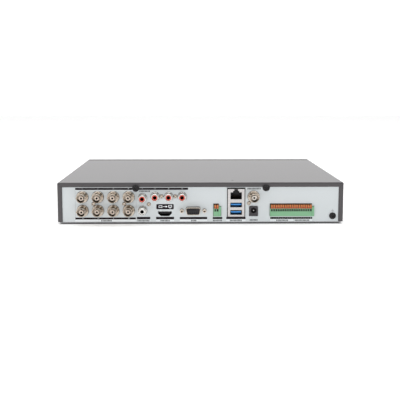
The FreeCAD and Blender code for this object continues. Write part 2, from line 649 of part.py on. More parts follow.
def audio_insert(x, z):
    """Coloured plastic core with the hole for the plug's centre pin."""
    core = cyl_y(AUDIO_INSERT_RADIUS, x, z, HOUSING_FRONT_Y, AUDIO_TIP_Y - 0.25)
    return core.cut(cyl_y(AUDIO_HOLE_RADIUS, x, z, HOUSING_FRONT_Y + 2, AUDIO_TIP_Y + 1))


def bracket_bores():
    return [cyl_y(1.35, x, z, HOUSING_FRONT_Y - 8, HOUSING_FRONT_Y + 1) for x, z in BRACKET_SCREWS]


def housing_block(x0, x1, z0, z1, depth):
    return box(x0, x1, HOUSING_FRONT_Y - depth, HOUSING_FRONT_Y, z0, z1)


def connector_housings():
    """Moulded bodies that hold the sockets on the board, behind the panel."""
    edge = 7.8
    blocks = []
    for left in (0, 2):
        x1 = VIDEO_COLUMNS[left] + edge
        x0 = VIDEO_COLUMNS[left + 1] - edge
        blocks.append(housing_block(x0, x1, BOARD_TOP, VIDEO_ROWS[0] + 6.6, 14))
    out_x, out_z = VIDEO_OUT
    upper = housing_block(out_x - edge, out_x + edge, JACK_HIGH + 0.7, out_z + edge, 14)
    leg = box(out_x - edge, out_x + edge, 84, HOUSING_FRONT_Y - 14, BOARD_TOP, out_z + edge)
    blocks.append(fuse([upper, leg]))
    blocks.append(housing_block(56.0, 71.5, BOARD_TOP, 36.5, 14))
    row = housing_block(14.0, 55.8, 24.3, 37.6, 12)
    row_leg = box(14.0, 55.8, 92.0, HOUSING_FRONT_Y - 12, BOARD_TOP, 37.6)
    blocks.append(fuse([row, row_leg]))
    return [cut(block, bracket_bores()) for block in blocks]


# ---------------------------------------------------------------- digital video and monitor ports

def digital_video_shell():
    """Folded steel sleeve of the digital video port, just behind the panel's face."""
    y0 = PANEL_Y - 12
    y1 = PANEL_Y - 0.2
    sleeve = prism_y(port_outline(-0.05), y0, y1)
    return sleeve.cut(prism_y(port_outline(-0.45), y0 + 0.6, y1 + 1))


def digital_video_tongue():
    y0 = PANEL_Y - 11.4
    block = prism_y(port_outline(-0.5), y0, y0 + 2)
    tongue = box(PORT_X - 5.6, PORT_X + 5.6, y0, PANEL_Y - 1.6, 11.6, 12.8)
    return fuse([block, tongue])


def dsub_shell():
    """D-shaped rim on a flange plate that lies against the panel's inner face."""
    plate = rounded_y(DSUB_X - 15.4, DSUB_X + 15.4, PANEL_INNER_Y - 0.9, PANEL_INNER_Y - 0.1,
                      BOARD_TOP + 0.4, DSUB_Z + 6.6, 1.5)
    rim = dsub_block(0.0, PANEL_INNER_Y - 0.9, REAR_Y + DSUB_REACH)
    shell = fuse([plate, rim])
    holes = [cyl_y(1.6, DSUB_X + side * POST_SPACING / 2, DSUB_Z, PANEL_INNER_Y - 2, PANEL_Y)
             for side in (-1, 1)]
    holes.append(dsub_block(-DSUB_WALL, PANEL_INNER_Y - 2, REAR_Y + DSUB_REACH + 1))
    return cut(shell, holes)


def dsub_insert():
    """Dark moulding with three rows of five contact holes."""
    front = REAR_Y + DSUB_REACH - 0.5
    core = dsub_block(-DSUB_WALL - 0.05, PANEL_INNER_Y - 0.9, front)
    body = box(DSUB_X - 15.0, DSUB_X + 15.0, PANEL_INNER_Y - 11, PANEL_INNER_Y - 0.95,
               BOARD_TOP, DSUB_Z + 6.2)
    holes = []
    for row in (-1, 0, 1):
        for column in range(5):
            x = DSUB_X + (column - 2) * 2.29 + row * 0.4
            holes.append(cyl_y(0.5, x, DSUB_Z + row * 1.98, front - 4, front + 1))
    holes += [cyl_y(1.45, DSUB_X + side * POST_SPACING / 2, DSUB_Z, PANEL_INNER_Y - 9, PANEL_INNER_Y)
              for side in (-1, 1)]
    return cut(fuse([core, body]), holes)


# ---------------------------------------------------------------- network and USB tower, power jack

def lan_usb_shield():
    """Steel can open at the bottom, with the three port openings folded in its face."""
    y0 = TOWER_FRONT_Y - TOWER_DEPTH
    can = tower_block(0, y0, TOWER_FRONT_Y)
    inside = box(TOWER_X - TOWER_WIDTH / 2 + TOWER_SHEET, TOWER_X + TOWER_WIDTH / 2 - TOWER_SHEET,
                 y0 + TOWER_SHEET, TOWER_FRONT_Y - TOWER_SHEET, TOWER_LOW - 1, TOWER_HIGH - TOWER_SHEET)
    can = can.cut(inside)
    half = USB_WIDTH / 2
    sleeves = []
    openings = [network_cavity(0, TOWER_FRONT_Y - 2, TOWER_FRONT_Y + 1)]
    for low in USB_LOWS:
        high = low + USB_HEIGHT
        sleeves.append(box(TOWER_X - half - 0.4, TOWER_X + half + 0.4, TOWER_FRONT_Y - USB_DEPTH,
                           TOWER_FRONT_Y, low - 0.4, high + 0.4))
        openings.append(box(TOWER_X - half, TOWER_X + half, TOWER_FRONT_Y - USB_DEPTH - 1,
                            TOWER_FRONT_Y + 1, low, high))
    return cut(fuse([can] + sleeves), openings)


def lan_insert():
    """Dark moulding inside the can that forms the network socket's walls."""
    x0 = TOWER_X - TOWER_WIDTH / 2 + TOWER_SHEET + 0.1
    x1 = TOWER_X + TOWER_WIDTH / 2 - TOWER_SHEET - 0.1
    y1 = TOWER_FRONT_Y - TOWER_SHEET - 0.05
    block = box(x0, x1, y1 - 18, y1, USB_LOWS[0] + USB_HEIGHT + 0.6, TOWER_HIGH - TOWER_SHEET - 0.05)
    return block.cut(network_cavity(0, y1 - NET_DEPTH, y1 + 1))


def usb_tongue(low):
    """Contact tongue on the block that closes the back of one port."""
    back = TOWER_FRONT_Y - USB_DEPTH
    half = USB_WIDTH / 2 - 0.05
    block = box(TOWER_X - half, TOWER_X + half, back, back + 2, low + 0.05, low + USB_HEIGHT - 0.05)
    tongue = box(TOWER_X - 5.7, TOWER_X + 5.7, back, TOWER_FRONT_Y - 0.9,
                 low + TONGUE_LOW, low + TONGUE_LOW + TONGUE_THICK)
    return fuse([block, tongue])


def dc_jack():
    """Barrel jack body with the round mouth for the power plug."""
    body = jack_block(0, REAR_Y - 14.5, JACK_FRONT_Y)
    foot = box(JACK_X - JACK_WIDTH / 2, JACK_X + JACK_WIDTH / 2, REAR_Y - 14.5, PANEL_INNER_Y - 0.3,
               BOARD_TOP, JACK_LOW + 1)
    mouth = cyl_y(JACK_HOLE_RADIUS, JACK_X, JACK_HOLE_Z, JACK_FRONT_Y - 9.5, JACK_FRONT_Y + 1)
    pin_seat = cyl_y(1.1, JACK_X, JACK_HOLE_Z, JACK_FRONT_Y - 12, JACK_FRONT_Y)
    return cut(fuse([body, foot]), [mouth, pin_seat])


def contact_pins():
    """Metal contacts: nine video sleeves, the power jack's pin and eight network wires."""
    pins = [video_contact(x, z) for x, z in VIDEO_IN + [VIDEO_OUT]]
    pin = cyl_y(1.05, JACK_X, JACK_HOLE_Z, JACK_FRONT_Y - 12, JACK_FRONT_Y - 0.9)
    pins.append(fillet(pin, 0.5, lambda b: b.YMin > JACK_FRONT_Y - 1))
    back = TOWER_FRONT_Y - TOWER_SHEET - 0.05 - NET_DEPTH
    for wire in range(8):
        x = TOWER_X + (wire - 3.5) * 1.02
        outline = [(back, NET_LOW), (back + 10.0, NET_LOW),
                   (back + 2.0, NET_LOW + 3.0), (back, NET_LOW + 3.0)]
        pins.append(prism_x(outline, x - 0.18, x + 0.18))
    return pins


# ---------------------------------------------------------------- spring terminals

def terminal_body(first_x, count):
    """Green block: wire holes below, a slot for each lever above, a closing plate at the -X end."""
    low, high = terminal_span(first_x, count)
    block = box(low, high + TERMINAL_EDGE, TERMINAL_BACK_Y, TERMINAL_FACE_Y, TERMINAL_LOW, TERMINAL_HIGH)
    foot = box(low, high + TERMINAL_EDGE, TERMINAL_BACK_Y, PANEL_INNER_Y - 0.3, BOARD_TOP, TERMINAL_LOW + 1)
    plate = box(low - END_PLATE_WIDTH, low, TERMINAL_BACK_Y, TERMINAL_FACE_Y + 0.4,
                TERMINAL_LOW, END_PLATE_HIGH)
    plate = fillet(plate, 0.8, lambda b: runs_along_x(b) and b.ZMin > END_PLATE_HIGH - 0.1)
    plate_foot = box(low - END_PLATE_WIDTH, low, TERMINAL_BACK_Y, PANEL_INNER_Y - 0.3, BOARD_TOP,
                     TERMINAL_LOW + 1)
    body = fuse([block, foot, plate, plate_foot])
    tools = [box(low, high + TERMINAL_EDGE + 1, TERMINAL_FACE_Y - LEVER_RELIEF, TERMINAL_FACE_Y + 1,
                 LEVER_LOW - 0.12, TERMINAL_HIGH + 1)]
    for place in range(count):
        x = first_x - place * LEVER_PITCH
        tools.append(box(x - LEVER_SLOT / 2, x + LEVER_SLOT / 2, LEVER_BACK_Y - LEVER_TRAVEL - 0.4,
                         TERMINAL_FACE_Y + 1, LEVER_LOW - 0.12, TERMINAL_HIGH + 1))
        tools.append(box(x - WIRE_HOLE_WIDTH / 2, x + WIRE_HOLE_WIDTH / 2, TERMINAL_FACE_Y - 9,
                         TERMINAL_FACE_Y + 1, WIRE_HOLE_Z - WIRE_HOLE_HEIGHT / 2,
                         WIRE_HOLE_Z + WIRE_HOLE_HEIGHT / 2))
    return cut(body, tools)


def lever(first_x, place):
    """Push lever that opens one wire clamp: upright nose, top sloping back to the body."""
    x = first_x - place * LEVER_PITCH
    outline = [
        (LEVER_BACK_Y, LEVER_LOW),
        (LEVER_NOSE_Y - 0.5, LEVER_LOW),
        (LEVER_NOSE_Y, LEVER_LOW + 0.5),
        (LEVER_NOSE_Y, LEVER_LOW + 1.9),
        (LEVER_NOSE_Y - 1.5, LEVER_HIGH),
        (LEVER_BACK_Y, LEVER_HIGH),
    ]
    return prism_x(outline, x - LEVER_WIDTH / 2, x + LEVER_WIDTH / 2)


# ---------------------------------------------------------------- fasteners

def rear_black_screws():
    cover = [pan_screw_y(x, z, REAR_Y, COVER_SCREW_HEAD, 2.0, 1.7, 8.0) for x, z in COVER_SCREWS]
    ground = pan_screw_y(*GROUND_SCREW, PANEL_Y, GROUND_SCREW_HEAD, 2.2, 1.7, 7.0)
    return cover + [ground]


def connector_screws():
    """Small plated screws through the panel into the housings, and the two threaded jack posts."""
    screws = [pan_screw_y(x, z, PANEL_Y, BRACKET_SCREW_HEAD, 1.4, 1.3, 8.0) for x, z in BRACKET_SCREWS]
    for side in (-1, 1):
        x = DSUB_X + side * POST_SPACING / 2
        post = cyl_y(POST_RADIUS, x, DSUB_Z, PANEL_Y, PANEL_Y + POST_LENGTH)
        stud = cyl_y(1.4, x, DSUB_Z, PANEL_INNER_Y - 8, PANEL_Y)
        hole = cyl_y(POST_HOLE_RADIUS, x, DSUB_Z, PANEL_Y + 0.5, PANEL_Y + POST_LENGTH + 1)
        screws.append(fuse([post, stud]).cut(hole))
    return screws


def machine_screws():
    """Screws of the main board, front board, fan, drive and the drive's lid."""
    screws = [pan_screw_z(x, y, BOARD_TOP, 2.75, 1.8, 1.4, 5.0) for x, y in STANDOFFS]
    screws += [pan_screw_z(x, y, FOOT_HEIGHT, 3.5, 1.0, 1.7, 8.0, up=-1) for x, y in DRIVE_SCREWS]
    for x, z in FRONT_STANDOFFS:
        head_y = FRONT_BOARD_Y - BOARD_THICKNESS
        screws.append(fuse([cyl_y(2.75, x, z, head_y - 1.8, head_y),
                            cyl_y(1.4, x, z, head_y, head_y + 2.7)]))
    half_pitch = FAN_HOLE_SPACING / 2
    for dy in (-half_pitch, half_pitch):
        for dz in (-half_pitch, half_pitch):
            head = cyl_x(2.75, FAN_Y + dy, FAN_Z + dz, FAN_X0 - 1.8, FAN_X0)
            shank = cyl_x(1.5, FAN_Y + dy, FAN_Z + dz, FAN_X0, BASE_HALF - 0.1)
            screws.append(fuse([head, shank]))
    for x, y in drive_lid_screws():
        screws.append(pan_screw_z(x, y, DRIVE_Z0 + DRIVE_HEIGHT - 0.8, 2.2, 0.8, 1.1, 4.5))
    return screws


# ---------------------------------------------------------------- boards

def main_board():
    board = box(-BOARD_HALF_WIDTH, BOARD_HALF_WIDTH, BOARD_FRONT_Y, BOARD_REAR_Y, BOARD_BOTTOM, BOARD_TOP)
    ground_x = GROUND_SCREW[0]
    notch = box(-BOARD_HALF_WIDTH - 1, ground_x + 5.5, PANEL_INNER_Y - 8, BOARD_REAR_Y + 1,
                BOARD_BOTTOM - 1, BOARD_TOP + 1)
    holes = [cyl_z(1.6, x, y, BOARD_BOTTOM - 1, BOARD_TOP + 1) for x, y in STANDOFFS]
    return cut(board, holes + [notch])


def board_chip(x, y, width, depth, height):
    return box(x - width / 2, x + width / 2, y - depth / 2, y + depth / 2, BOARD_TOP, BOARD_TOP + height)


def board_components():
    """Chips, inductors, capacitors, relays, cable sockets and the clock battery in its holder."""
    pieces = [board_chip(CHIP_X, CHIP_Y, 23, 23, 1.6)]
    pieces += [board_chip(-46.0, 32.0 + 15 * row, 9, 13, 1.1) for row in range(4)]
    pieces += [board_chip(x, 70, 14, 14, 1.2) for x in (122.2, 88.2)]
    pieces += [board_chip(40.0, 60, 24, 13, 6), board_chip(40.0, 38, 12, 8, 1.5)]
    pieces += [board_chip(-84.0 - 12 * place, 78, 9, 16, 10) for place in range(4)]
    pieces += [board_chip(-72.0, 40 + 12 * place, 7, 7, 4) for place in range(3)]
    pieces += [cyl_z(4.0, -84.0, 34 + 11 * place, BOARD_TOP, BOARD_TOP + 11) for place in range(3)]
    holder = cyl_z(12.0, -112.0, 40.0, BOARD_TOP, BOARD_TOP + 4.2)
    holder = holder.cut(cyl_z(10.1, -112.0, 40.0, BOARD_TOP + 1, BOARD_TOP + 5))
    pieces += [holder, cyl_z(10.0, -112.0, 40.0, BOARD_TOP + 1, BOARD_TOP + 4.2)]
    pieces += [board_chip(35, 19, 17, 8, 7), board_chip(58, 19, 12, 8, 7), board_chip(125, 18, 9, 6, 6)]
    pieces.append(board_chip(RIBBON_X, 18, 16, 6, 3))
    board_face = FRONT_BOARD_Y - BOARD_THICKNESS
    pieces += [cyl_y(1.5, -132.0 + 8 * place, 25.0, board_face - 4, board_face) for place in range(3)]
    pieces.append(box(-66, -60, board_face - 4, board_face, 21.5, 28.5))
    pieces.append(box(RIBBON_X - 6.5, RIBBON_X + 6.5, FRONT_BOARD_Y, FRONT_BOARD_Y + RIBBON_SOCKET,
                      12.1, 16.0))
    return pieces


def heat_sink():
    half = SINK_SIDE / 2
    low = BOARD_TOP + 1.6
    fins = [box(CHIP_X - half, CHIP_X + half, CHIP_Y - half, CHIP_Y + half, low, low + 3)]
    count = 11
    for fin in range(count):
        x = CHIP_X - half + 0.6 + fin * (SINK_SIDE - 1.2) / (count - 1)
        fins.append(box(x - 0.6, x + 0.6, CHIP_Y - half, CHIP_Y + half, low + 2, SINK_TOP))
    return fuse(fins)


def front_board():
    board = box(-FRONT_BOARD_X, FRONT_BOARD_X, FRONT_BOARD_Y - BOARD_THICKNESS, FRONT_BOARD_Y,
                FRONT_BOARD_LOW, FRONT_BOARD_HIGH)
    return cut(board, [cyl_y(1.6, x, z, FRONT_BOARD_Y - 3, FRONT_BOARD_Y + 1) for x, z in FRONT_STANDOFFS])


def front_usb_socket():
    """Mouse port behind the bezel: a steel sleeve closed at the back, with its contact tongue."""
    y0 = FRONT_Y + 0.5
    y1 = FRONT_BOARD_Y - BOARD_THICKNESS
    x, z = FRONT_USB_X, FRONT_USB_Z
    sleeve = box(x - 6.8, x + 6.8, y0, y1, z - 3.1, z + 3.1)
    sleeve = sleeve.cut(box(x - 6.4, x + 6.4, y0 - 1, y1 - 1, z - 2.7, z + 2.7))
    tongue = box(x - 5.6, x + 5.6, y0 + 1.2, y1 - 1, z + 0.2, z + 1.9)
    return [sleeve, tongue]


# ---------------------------------------------------------------- hard disk drive

def drive_lid_screws():
    inset = 3.4
    places = []
    for x in (DRIVE_X0 + inset, DRIVE_X0 + DRIVE_LENGTH / 2, DRIVE_X0 + DRIVE_LENGTH - inset):
        for y in (DRIVE_Y0 + inset, DRIVE_Y0 + DRIVE_WIDTH - inset):
            if x != DRIVE_X0 + DRIVE_LENGTH / 2:
                places.append((x, y))
    return places


def hdd_base():
    """Cast tub with a round well for the discs and a square one for the arm's actuator."""
    top = DRIVE_Z0 + DRIVE_HEIGHT - DRIVE_LID
    x1 = DRIVE_X0 + DRIVE_LENGTH
    y1 = DRIVE_Y0 + DRIVE_WIDTH
    tub = fillet(box(DRIVE_X0, x1, DRIVE_Y0, y1, DRIVE_Z0, top), 3.0, runs_along_z)
    floor = DRIVE_Z0 + 4
    wells = [
        cyl_z(PLATTER_RADIUS + 1.2, SPINDLE_X, SPINDLE_Y, floor, top + 1),
        box(SPINDLE_X + 22, x1 - 6.5, DRIVE_Y0 + 6.5, y1 - 6.5, floor, top + 1),
    ]
    wells += [cyl_z(1.8, x, y, DRIVE_Z0 - 1, DRIVE_Z0 + 5) for x, y in DRIVE_SCREWS]
    wells += [cyl_z(1.2, x, y, top - 3, top + 1) for x, y in drive_lid_screws()]
    tub = cut(tub, wells)
    spindle_post = cyl_z(4.0, SPINDLE_X, SPINDLE_Y, floor - 1, top - 3)
    pivot_post = cyl_z(2.5, PIVOT_X, PIVOT_Y, floor - 1, top - 1)
    return fuse([tub, spindle_post, pivot_post])


def hdd_cover():
    low = DRIVE_Z0 + DRIVE_HEIGHT - DRIVE_LID
    high = DRIVE_Z0 + DRIVE_HEIGHT
    x1 = DRIVE_X0 + DRIVE_LENGTH
    y1 = DRIVE_Y0 + DRIVE_WIDTH
    lid = fillet(box(DRIVE_X0, x1, DRIVE_Y0, y1, low, high - 0.8), 3.0, runs_along_z)
    raised = cyl_z(PLATTER_RADIUS - 1, SPINDLE_X, SPINDLE_Y, high - 0.8, high)
    holes = [cyl_z(1.3, x, y, low - 1, high + 1) for x, y in drive_lid_screws()]
    return cut(fuse([lid, raised]), holes)


def hdd_platters():
    """Two discs clamped on the spindle hub."""
    low = DRIVE_Z0 + 5
    hub = cyl_z(15.0, SPINDLE_X, SPINDLE_Y, low, low + 13.5)
    lower_disc = cyl_z(PLATTER_RADIUS, SPINDLE_X, SPINDLE_Y, low + 3, low + 4.3)
    upper_disc = cyl_z(PLATTER_RADIUS, SPINDLE_X, SPINDLE_Y, low + 9, low + 10.3)
    return fuse([hub, lower_disc, upper_disc]).cut(
        cyl_z(4.05, SPINDLE_X, SPINDLE_Y, low - 1, low + 16))


def hdd_head_arm():
    """Swinging arm with one finger between the discs and one above them, coil at the tail."""
    low = DRIVE_Z0 + 5
    length = math.hypot(SPINDLE_X - PIVOT_X, SPINDLE_Y - PIVOT_Y)
    finger = [(4.5, -6.0), (ARM_LENGTH, -1.6), (ARM_LENGTH, 1.6), (4.5, 6.0)]
    tail = [(-4.5, -7.0), (-16.0, -10.0), (-16.0, 10.0), (-4.5, 7.0)]
    pieces = [cyl_z(7.0, 0, 0, low + 1, low + 13)]
    pieces.append(prism_z(finger, low + 6.0, low + 7.2))
    pieces.append(prism_z(finger, low + 11.6, low + 12.8))
    pieces.append(prism_z(tail, low + 5.0, low + 9.0))
    arm = fuse(pieces).cut(cyl_z(2.55, 0, 0, low - 1, low + 15))
    towards_hub = math.degrees(math.atan2(SPINDLE_Y - PIVOT_Y, SPINDLE_X - PIVOT_X))
    cosine = (length ** 2 + ARM_LENGTH ** 2 - HEAD_TRACK ** 2) / (2 * length * ARM_LENGTH)
    outward = math.degrees(math.acos(cosine))
    arm.rotate(V(0, 0, 0), ALONG_Z, towards_hub - outward)
    arm.translate(V(PIVOT_X, PIVOT_Y, 0))
    return arm


# ---------------------------------------------------------------- fan

def fan_frame():
    """Square frame with a round duct; three struts carry the bearing boss on the inner side."""
    half = FAN_SIDE / 2
    frame = box(FAN_X0, FAN_X1, FAN_Y - half, FAN_Y + half, FAN_Z - half, FAN_Z + half)
    frame = fillet(frame, 2.5, runs_along_x)
    frame = frame.cut(cyl_x(FAN_BORE, FAN_Y, FAN_Z, FAN_X0 - 1, FAN_X1 + 1))
    boss = cyl_x(8.5, FAN_Y, FAN_Z, FAN_X0, FAN_X0 + 1.6)
    struts = []
    for turn in (90, 210, 330):
        strut = box(FAN_X0, FAN_X0 + 1.6, FAN_Y + 6, FAN_Y + FAN_BORE + 1, FAN_Z - 1.1, FAN_Z + 1.1)
        strut.rotate(V(FAN_X0, FAN_Y, FAN_Z), ALONG_X, turn)
        struts.append(strut)
    sleeve = cyl_x(2.4, FAN_Y, FAN_Z, FAN_X0, FAN_X0 + 5.5)
    half_pitch = FAN_HOLE_SPACING / 2
    holes = [cyl_x(FAN_SHAFT_RADIUS + 0.05, FAN_Y, FAN_Z, FAN_X0 + 0.8, FAN_X0 + 7)]
    for dy in (-half_pitch, half_pitch):
        for dz in (-half_pitch, half_pitch):
            holes.append(cyl_x(1.7, FAN_Y + dy, FAN_Z + dz, FAN_X0 - 1, FAN_X1 + 1))
    return cut(fuse([frame, boss, sleeve] + struts), holes)


def fan_rotor():
    """Cup-shaped hub on a thin shaft, with seven twisted blades."""
    x0 = FAN_X0 + 2.2
    x1 = FAN_X1 - 0.8
    hub = cyl_x(8.6, FAN_Y, FAN_Z, x0, x1)
    hub = hub.cut(cyl_x(7.2, FAN_Y, FAN_Z, x0 - 1, x1 - 1))
    shaft = cyl_x(FAN_SHAFT_RADIUS, FAN_Y, FAN_Z, FAN_X0 + 1.0, x1 - 0.5)
    pieces = [hub, shaft]
    for blade in range(7):
        plate = box(-3.4, 3.4, -0.45, 0.45, 8.0, FAN_BLADE_RADIUS)
        plate.rotate(V(0, 0, 0), ALONG_Z, 38.0)
        plate.rotate(V(0, 0, 0), ALONG_X, blade * 360.0 / 7)
        plate.translate(V((x0 + x1) / 2, FAN_Y, FAN_Z))
        pieces.append(plate)
    sweep = cyl_x(FAN_BLADE_RADIUS, FAN_Y, FAN_Z, x0, x1)
    return fuse(pieces[:2] + [piece.common(sweep) for piece in pieces[2:]])


# ---------------------------------------------------------------- leads

def internal_leads():
    """Drive data lead, drive power lead and the fan's lead, each with its plug at the board."""
    z = 11.0
    end = DRIVE_X0 + DRIVE_LENGTH
    leads = []
    for drive_y, board_x, radius in ((-23.0, 35.0, 1.8), (-46.0, 58.0, 2.4)):
        drive_plug = box(end + 0.1, end + 12, drive_y - 6, drive_y + 6, z - 2.5, z + 2.5)
        board_plug = box(board_x - 5, board_x + 5, 3.0, 14.9, z - 2.4, z + 2.4)
        rod = bent_rod([(end + 11, drive_y, z), (board_x, drive_y, z), (board_x, 4.0, z)], radius, 12.0)
        leads.append(fuse([drive_plug, rod, board_plug]))
    fan_lead = bent_rod([(FAN_X0 - 0.1, FAN_Y + 17, 16.5), (125.0, FAN_Y + 17, 16.5),
                         (125.0, 6.0, 11.0)], 1.2, 8.0)
    fan_plug = box(121.5, 128.5, 5.0, 14.9, 8.6, 13.4)
    leads.append(fuse([fan_lead, fan_plug]))
    return leads


def front_panel_cable():
    """Flat ribbon from the front board's socket down to the floor and up to the main board."""
    y0 = FRONT_BOARD_Y + RIBBON_SOCKET
    y1 = BOARD_FRONT_Y + 1.0
    high = 13.6
    low = 4.0
    board = BOARD_TOP + 1.2
    thick = 0.9
    slant = 0.3
    outline = [
        (y0, high), (y0 + 4, high), (y0 + 13, low), (y1 - 14, low), (y1 - 6, board), (y1, board),
        (y1, board + thick), (y1 - 6 - slant, board + thick), (y1 - 14 - slant, low + thick),
        (y0 + 13 + slant, low + thick), (y0 + 4 + slant, high + thick), (y0, high + thick),
    ]
    return prism_x(outline, RIBBON_X - 5.5, RIBBON_X + 5.5)


# ---------------------------------------------------------------- all nodes

def main():
    os.makedirs("parts", exist_ok=True)
    save("chassis_base", chassis_base())
    save("top_cover", top_cover())
    save("front_bezel", front_bezel())
    save("front_window", front_window())
    save("rear_label", rear_label())
    save("rubber_feet", *rubber_feet())
    save("main_board", main_board())
    save("board_components", *board_components())
    save("heat_sink", heat_sink())
    save("front_board", front_board())
    save("front_usb_socket", *front_usb_socket())
    save("hdd_base", hdd_base())
    save("hdd_cover", hdd_cover())
    save("hdd_platters", hdd_platters())
    save("hdd_head_arm", hdd_head_arm())
    save("fan_frame", fan_frame())
    save("fan_rotor", fan_rotor())
    save("internal_leads", *internal_leads())
    save("front_panel_cable", front_panel_cable())
    save("video_in_shells", *[video_shell(x, z) for x, z in VIDEO_IN])
    save("video_out_shell", video_shell(*VIDEO_OUT))
    save("video_insulators", *[video_insulator(x, z) for x, z in VIDEO_IN + [VIDEO_OUT]])
    save("contact_pins", *contact_pins())
    save("connector_housings", *connector_housings())
    save("audio_shells", *[audio_shell(x, z) for x, z in AUDIO_IN + [AUDIO_OUT]])
    save("audio_in_inserts", *[audio_insert(x, z) for x, z in AUDIO_IN])
    save("audio_out_insert", audio_insert(*AUDIO_OUT))
    save("digital_video_shell", digital_video_shell())
    save("digital_video_tongue", digital_video_tongue())
    save("dsub_shell", dsub_shell())
    save("dsub_insert", dsub_insert())
    save("lan_usb_shield", lan_usb_shield())
    save("lan_insert", lan_insert())
    save("usb_tongues", *[usb_tongue(low) for low in USB_LOWS])
    save("dc_jack", dc_jack())
    save("alarm_terminal_body", terminal_body(ALARM_FIRST_X, ALARM_COUNT))
    save("serial_terminal_body", terminal_body(SERIAL_FIRST_X, SERIAL_COUNT))
    for place in range(ALARM_COUNT):
        save("alarm_lever_%02d" % (place + 1), lever(ALARM_FIRST_X, place))
    for place in range(SERIAL_COUNT):
        save("serial_lever_%02d" % (place + 1), lever(SERIAL_FIRST_X, place))
    save("rear_black_screws", *rear_black_screws())
    save("connector_screws", *connector_screws())
    save("machine_screws", *machine_screws())


main()
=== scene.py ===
"""Looks of a digital video recorder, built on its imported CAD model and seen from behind."""
import json
import math

import bmesh
import bpy
from mathutils import Matrix, Vector


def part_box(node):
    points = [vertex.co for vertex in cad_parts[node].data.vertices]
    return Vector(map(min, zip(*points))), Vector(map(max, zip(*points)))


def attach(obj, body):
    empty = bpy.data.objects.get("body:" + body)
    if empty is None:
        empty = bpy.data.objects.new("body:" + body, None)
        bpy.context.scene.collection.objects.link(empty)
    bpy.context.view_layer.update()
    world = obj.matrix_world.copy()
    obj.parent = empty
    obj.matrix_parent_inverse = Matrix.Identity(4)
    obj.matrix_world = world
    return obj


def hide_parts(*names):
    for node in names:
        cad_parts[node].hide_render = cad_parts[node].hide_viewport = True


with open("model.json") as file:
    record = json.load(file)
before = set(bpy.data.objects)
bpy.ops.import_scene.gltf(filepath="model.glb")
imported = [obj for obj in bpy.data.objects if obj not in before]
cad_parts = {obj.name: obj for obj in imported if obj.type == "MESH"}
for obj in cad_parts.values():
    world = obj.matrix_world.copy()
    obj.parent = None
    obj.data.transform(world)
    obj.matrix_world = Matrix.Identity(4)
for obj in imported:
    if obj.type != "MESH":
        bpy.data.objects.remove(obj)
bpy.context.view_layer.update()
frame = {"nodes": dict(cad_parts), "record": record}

MM = 0.001
BODY = "recorder"
MOUNTS = {mount["name"]: Vector(mount["pos_m"]) / MM for mount in frame["record"]["mounts"]}
LEVERS = sorted(name for name in frame["nodes"] if "_lever_" in name)


def box_mm(node):
    """Lowest and highest corner of a CAD node, in millimetres."""
    low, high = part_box(node)
    return low / MM, high / MM


def middle_x(node):
    """Middle of a CAD node across the recorder, in millimetres."""
    low_corner, high_corner = box_mm(node)
    return (low_corner.x + high_corner.x) / 2


LIP_Y = box_mm("top_cover")[1].y            # plane of the lid's rear lip
FILM_Y = box_mm("rear_label")[1].y          # outer face of the printed film
INK = 0.02                                  # thickness of one printed layer


# ---------------------------------------------------------------- camera, light and stage

CAMERA_DISTANCE = 763.2                     # from the rear lip
CAMERA_SIDE = 11.1
CAMERA_HEIGHT = 154.3
CAMERA_TURN = math.radians(0.77)
CAMERA_TILT = math.radians(7.012)
CAMERA_LENS = 62.94
CAMERA_SHIFT = -0.075                       # keeps the box's uprights nearly parallel
BACKDROP = 1.76                             # brightness beyond the recorder, which the lid mirrors
DARK_ROOM = (0.05, 0.045, 0.042)            # what polished parts mirror from above the camera
ROOM = 0.8                                  # brightness of the rest of the studio, as mirrored
ROOM_LIGHT = 0.25                           # as it lights matt surfaces
ROOM_SEEN = 1.2                             # and as it is seen: white
FLOOR_REACH = 2.6                           # half the floor's width, in metres


def aim(thing, direction):
    thing.rotation_euler = Vector(direction).to_track_quat("-Z", "Y").to_euler()


def make_camera():
    data = bpy.data.cameras.new("camera")
    data.lens = CAMERA_LENS
    data.sensor_width = 36.0
    data.shift_y = CAMERA_SHIFT
    data.clip_start = 0.01
    data.clip_end = 30.0
    camera = bpy.data.objects.new("camera", data)
    camera.location = Vector((CAMERA_SIDE, LIP_Y + CAMERA_DISTANCE, CAMERA_HEIGHT)) * MM
    aim(camera, (-math.sin(CAMERA_TURN) * math.cos(CAMERA_TILT),
                 -math.cos(CAMERA_TURN) * math.cos(CAMERA_TILT),
                 -math.sin(CAMERA_TILT)))
    bpy.context.scene.collection.objects.link(camera)
    bpy.context.scene.camera = camera


def softbox(name, place, target, width, height, watts, mirrored=True):
    """Rectangular lamp; one that isn't mirrored leaves no highlight on polished parts."""
    data = bpy.data.lights.new(name, "AREA")
    data.shape = "RECTANGLE"
    data.size = width
    data.size_y = height
    data.energy = watts
    lamp = bpy.data.objects.new(name, data)
    lamp.location = place
    lamp.visible_glossy = mirrored
    aim(lamp, Vector(target) - Vector(place))
    bpy.context.scene.collection.objects.link(lamp)


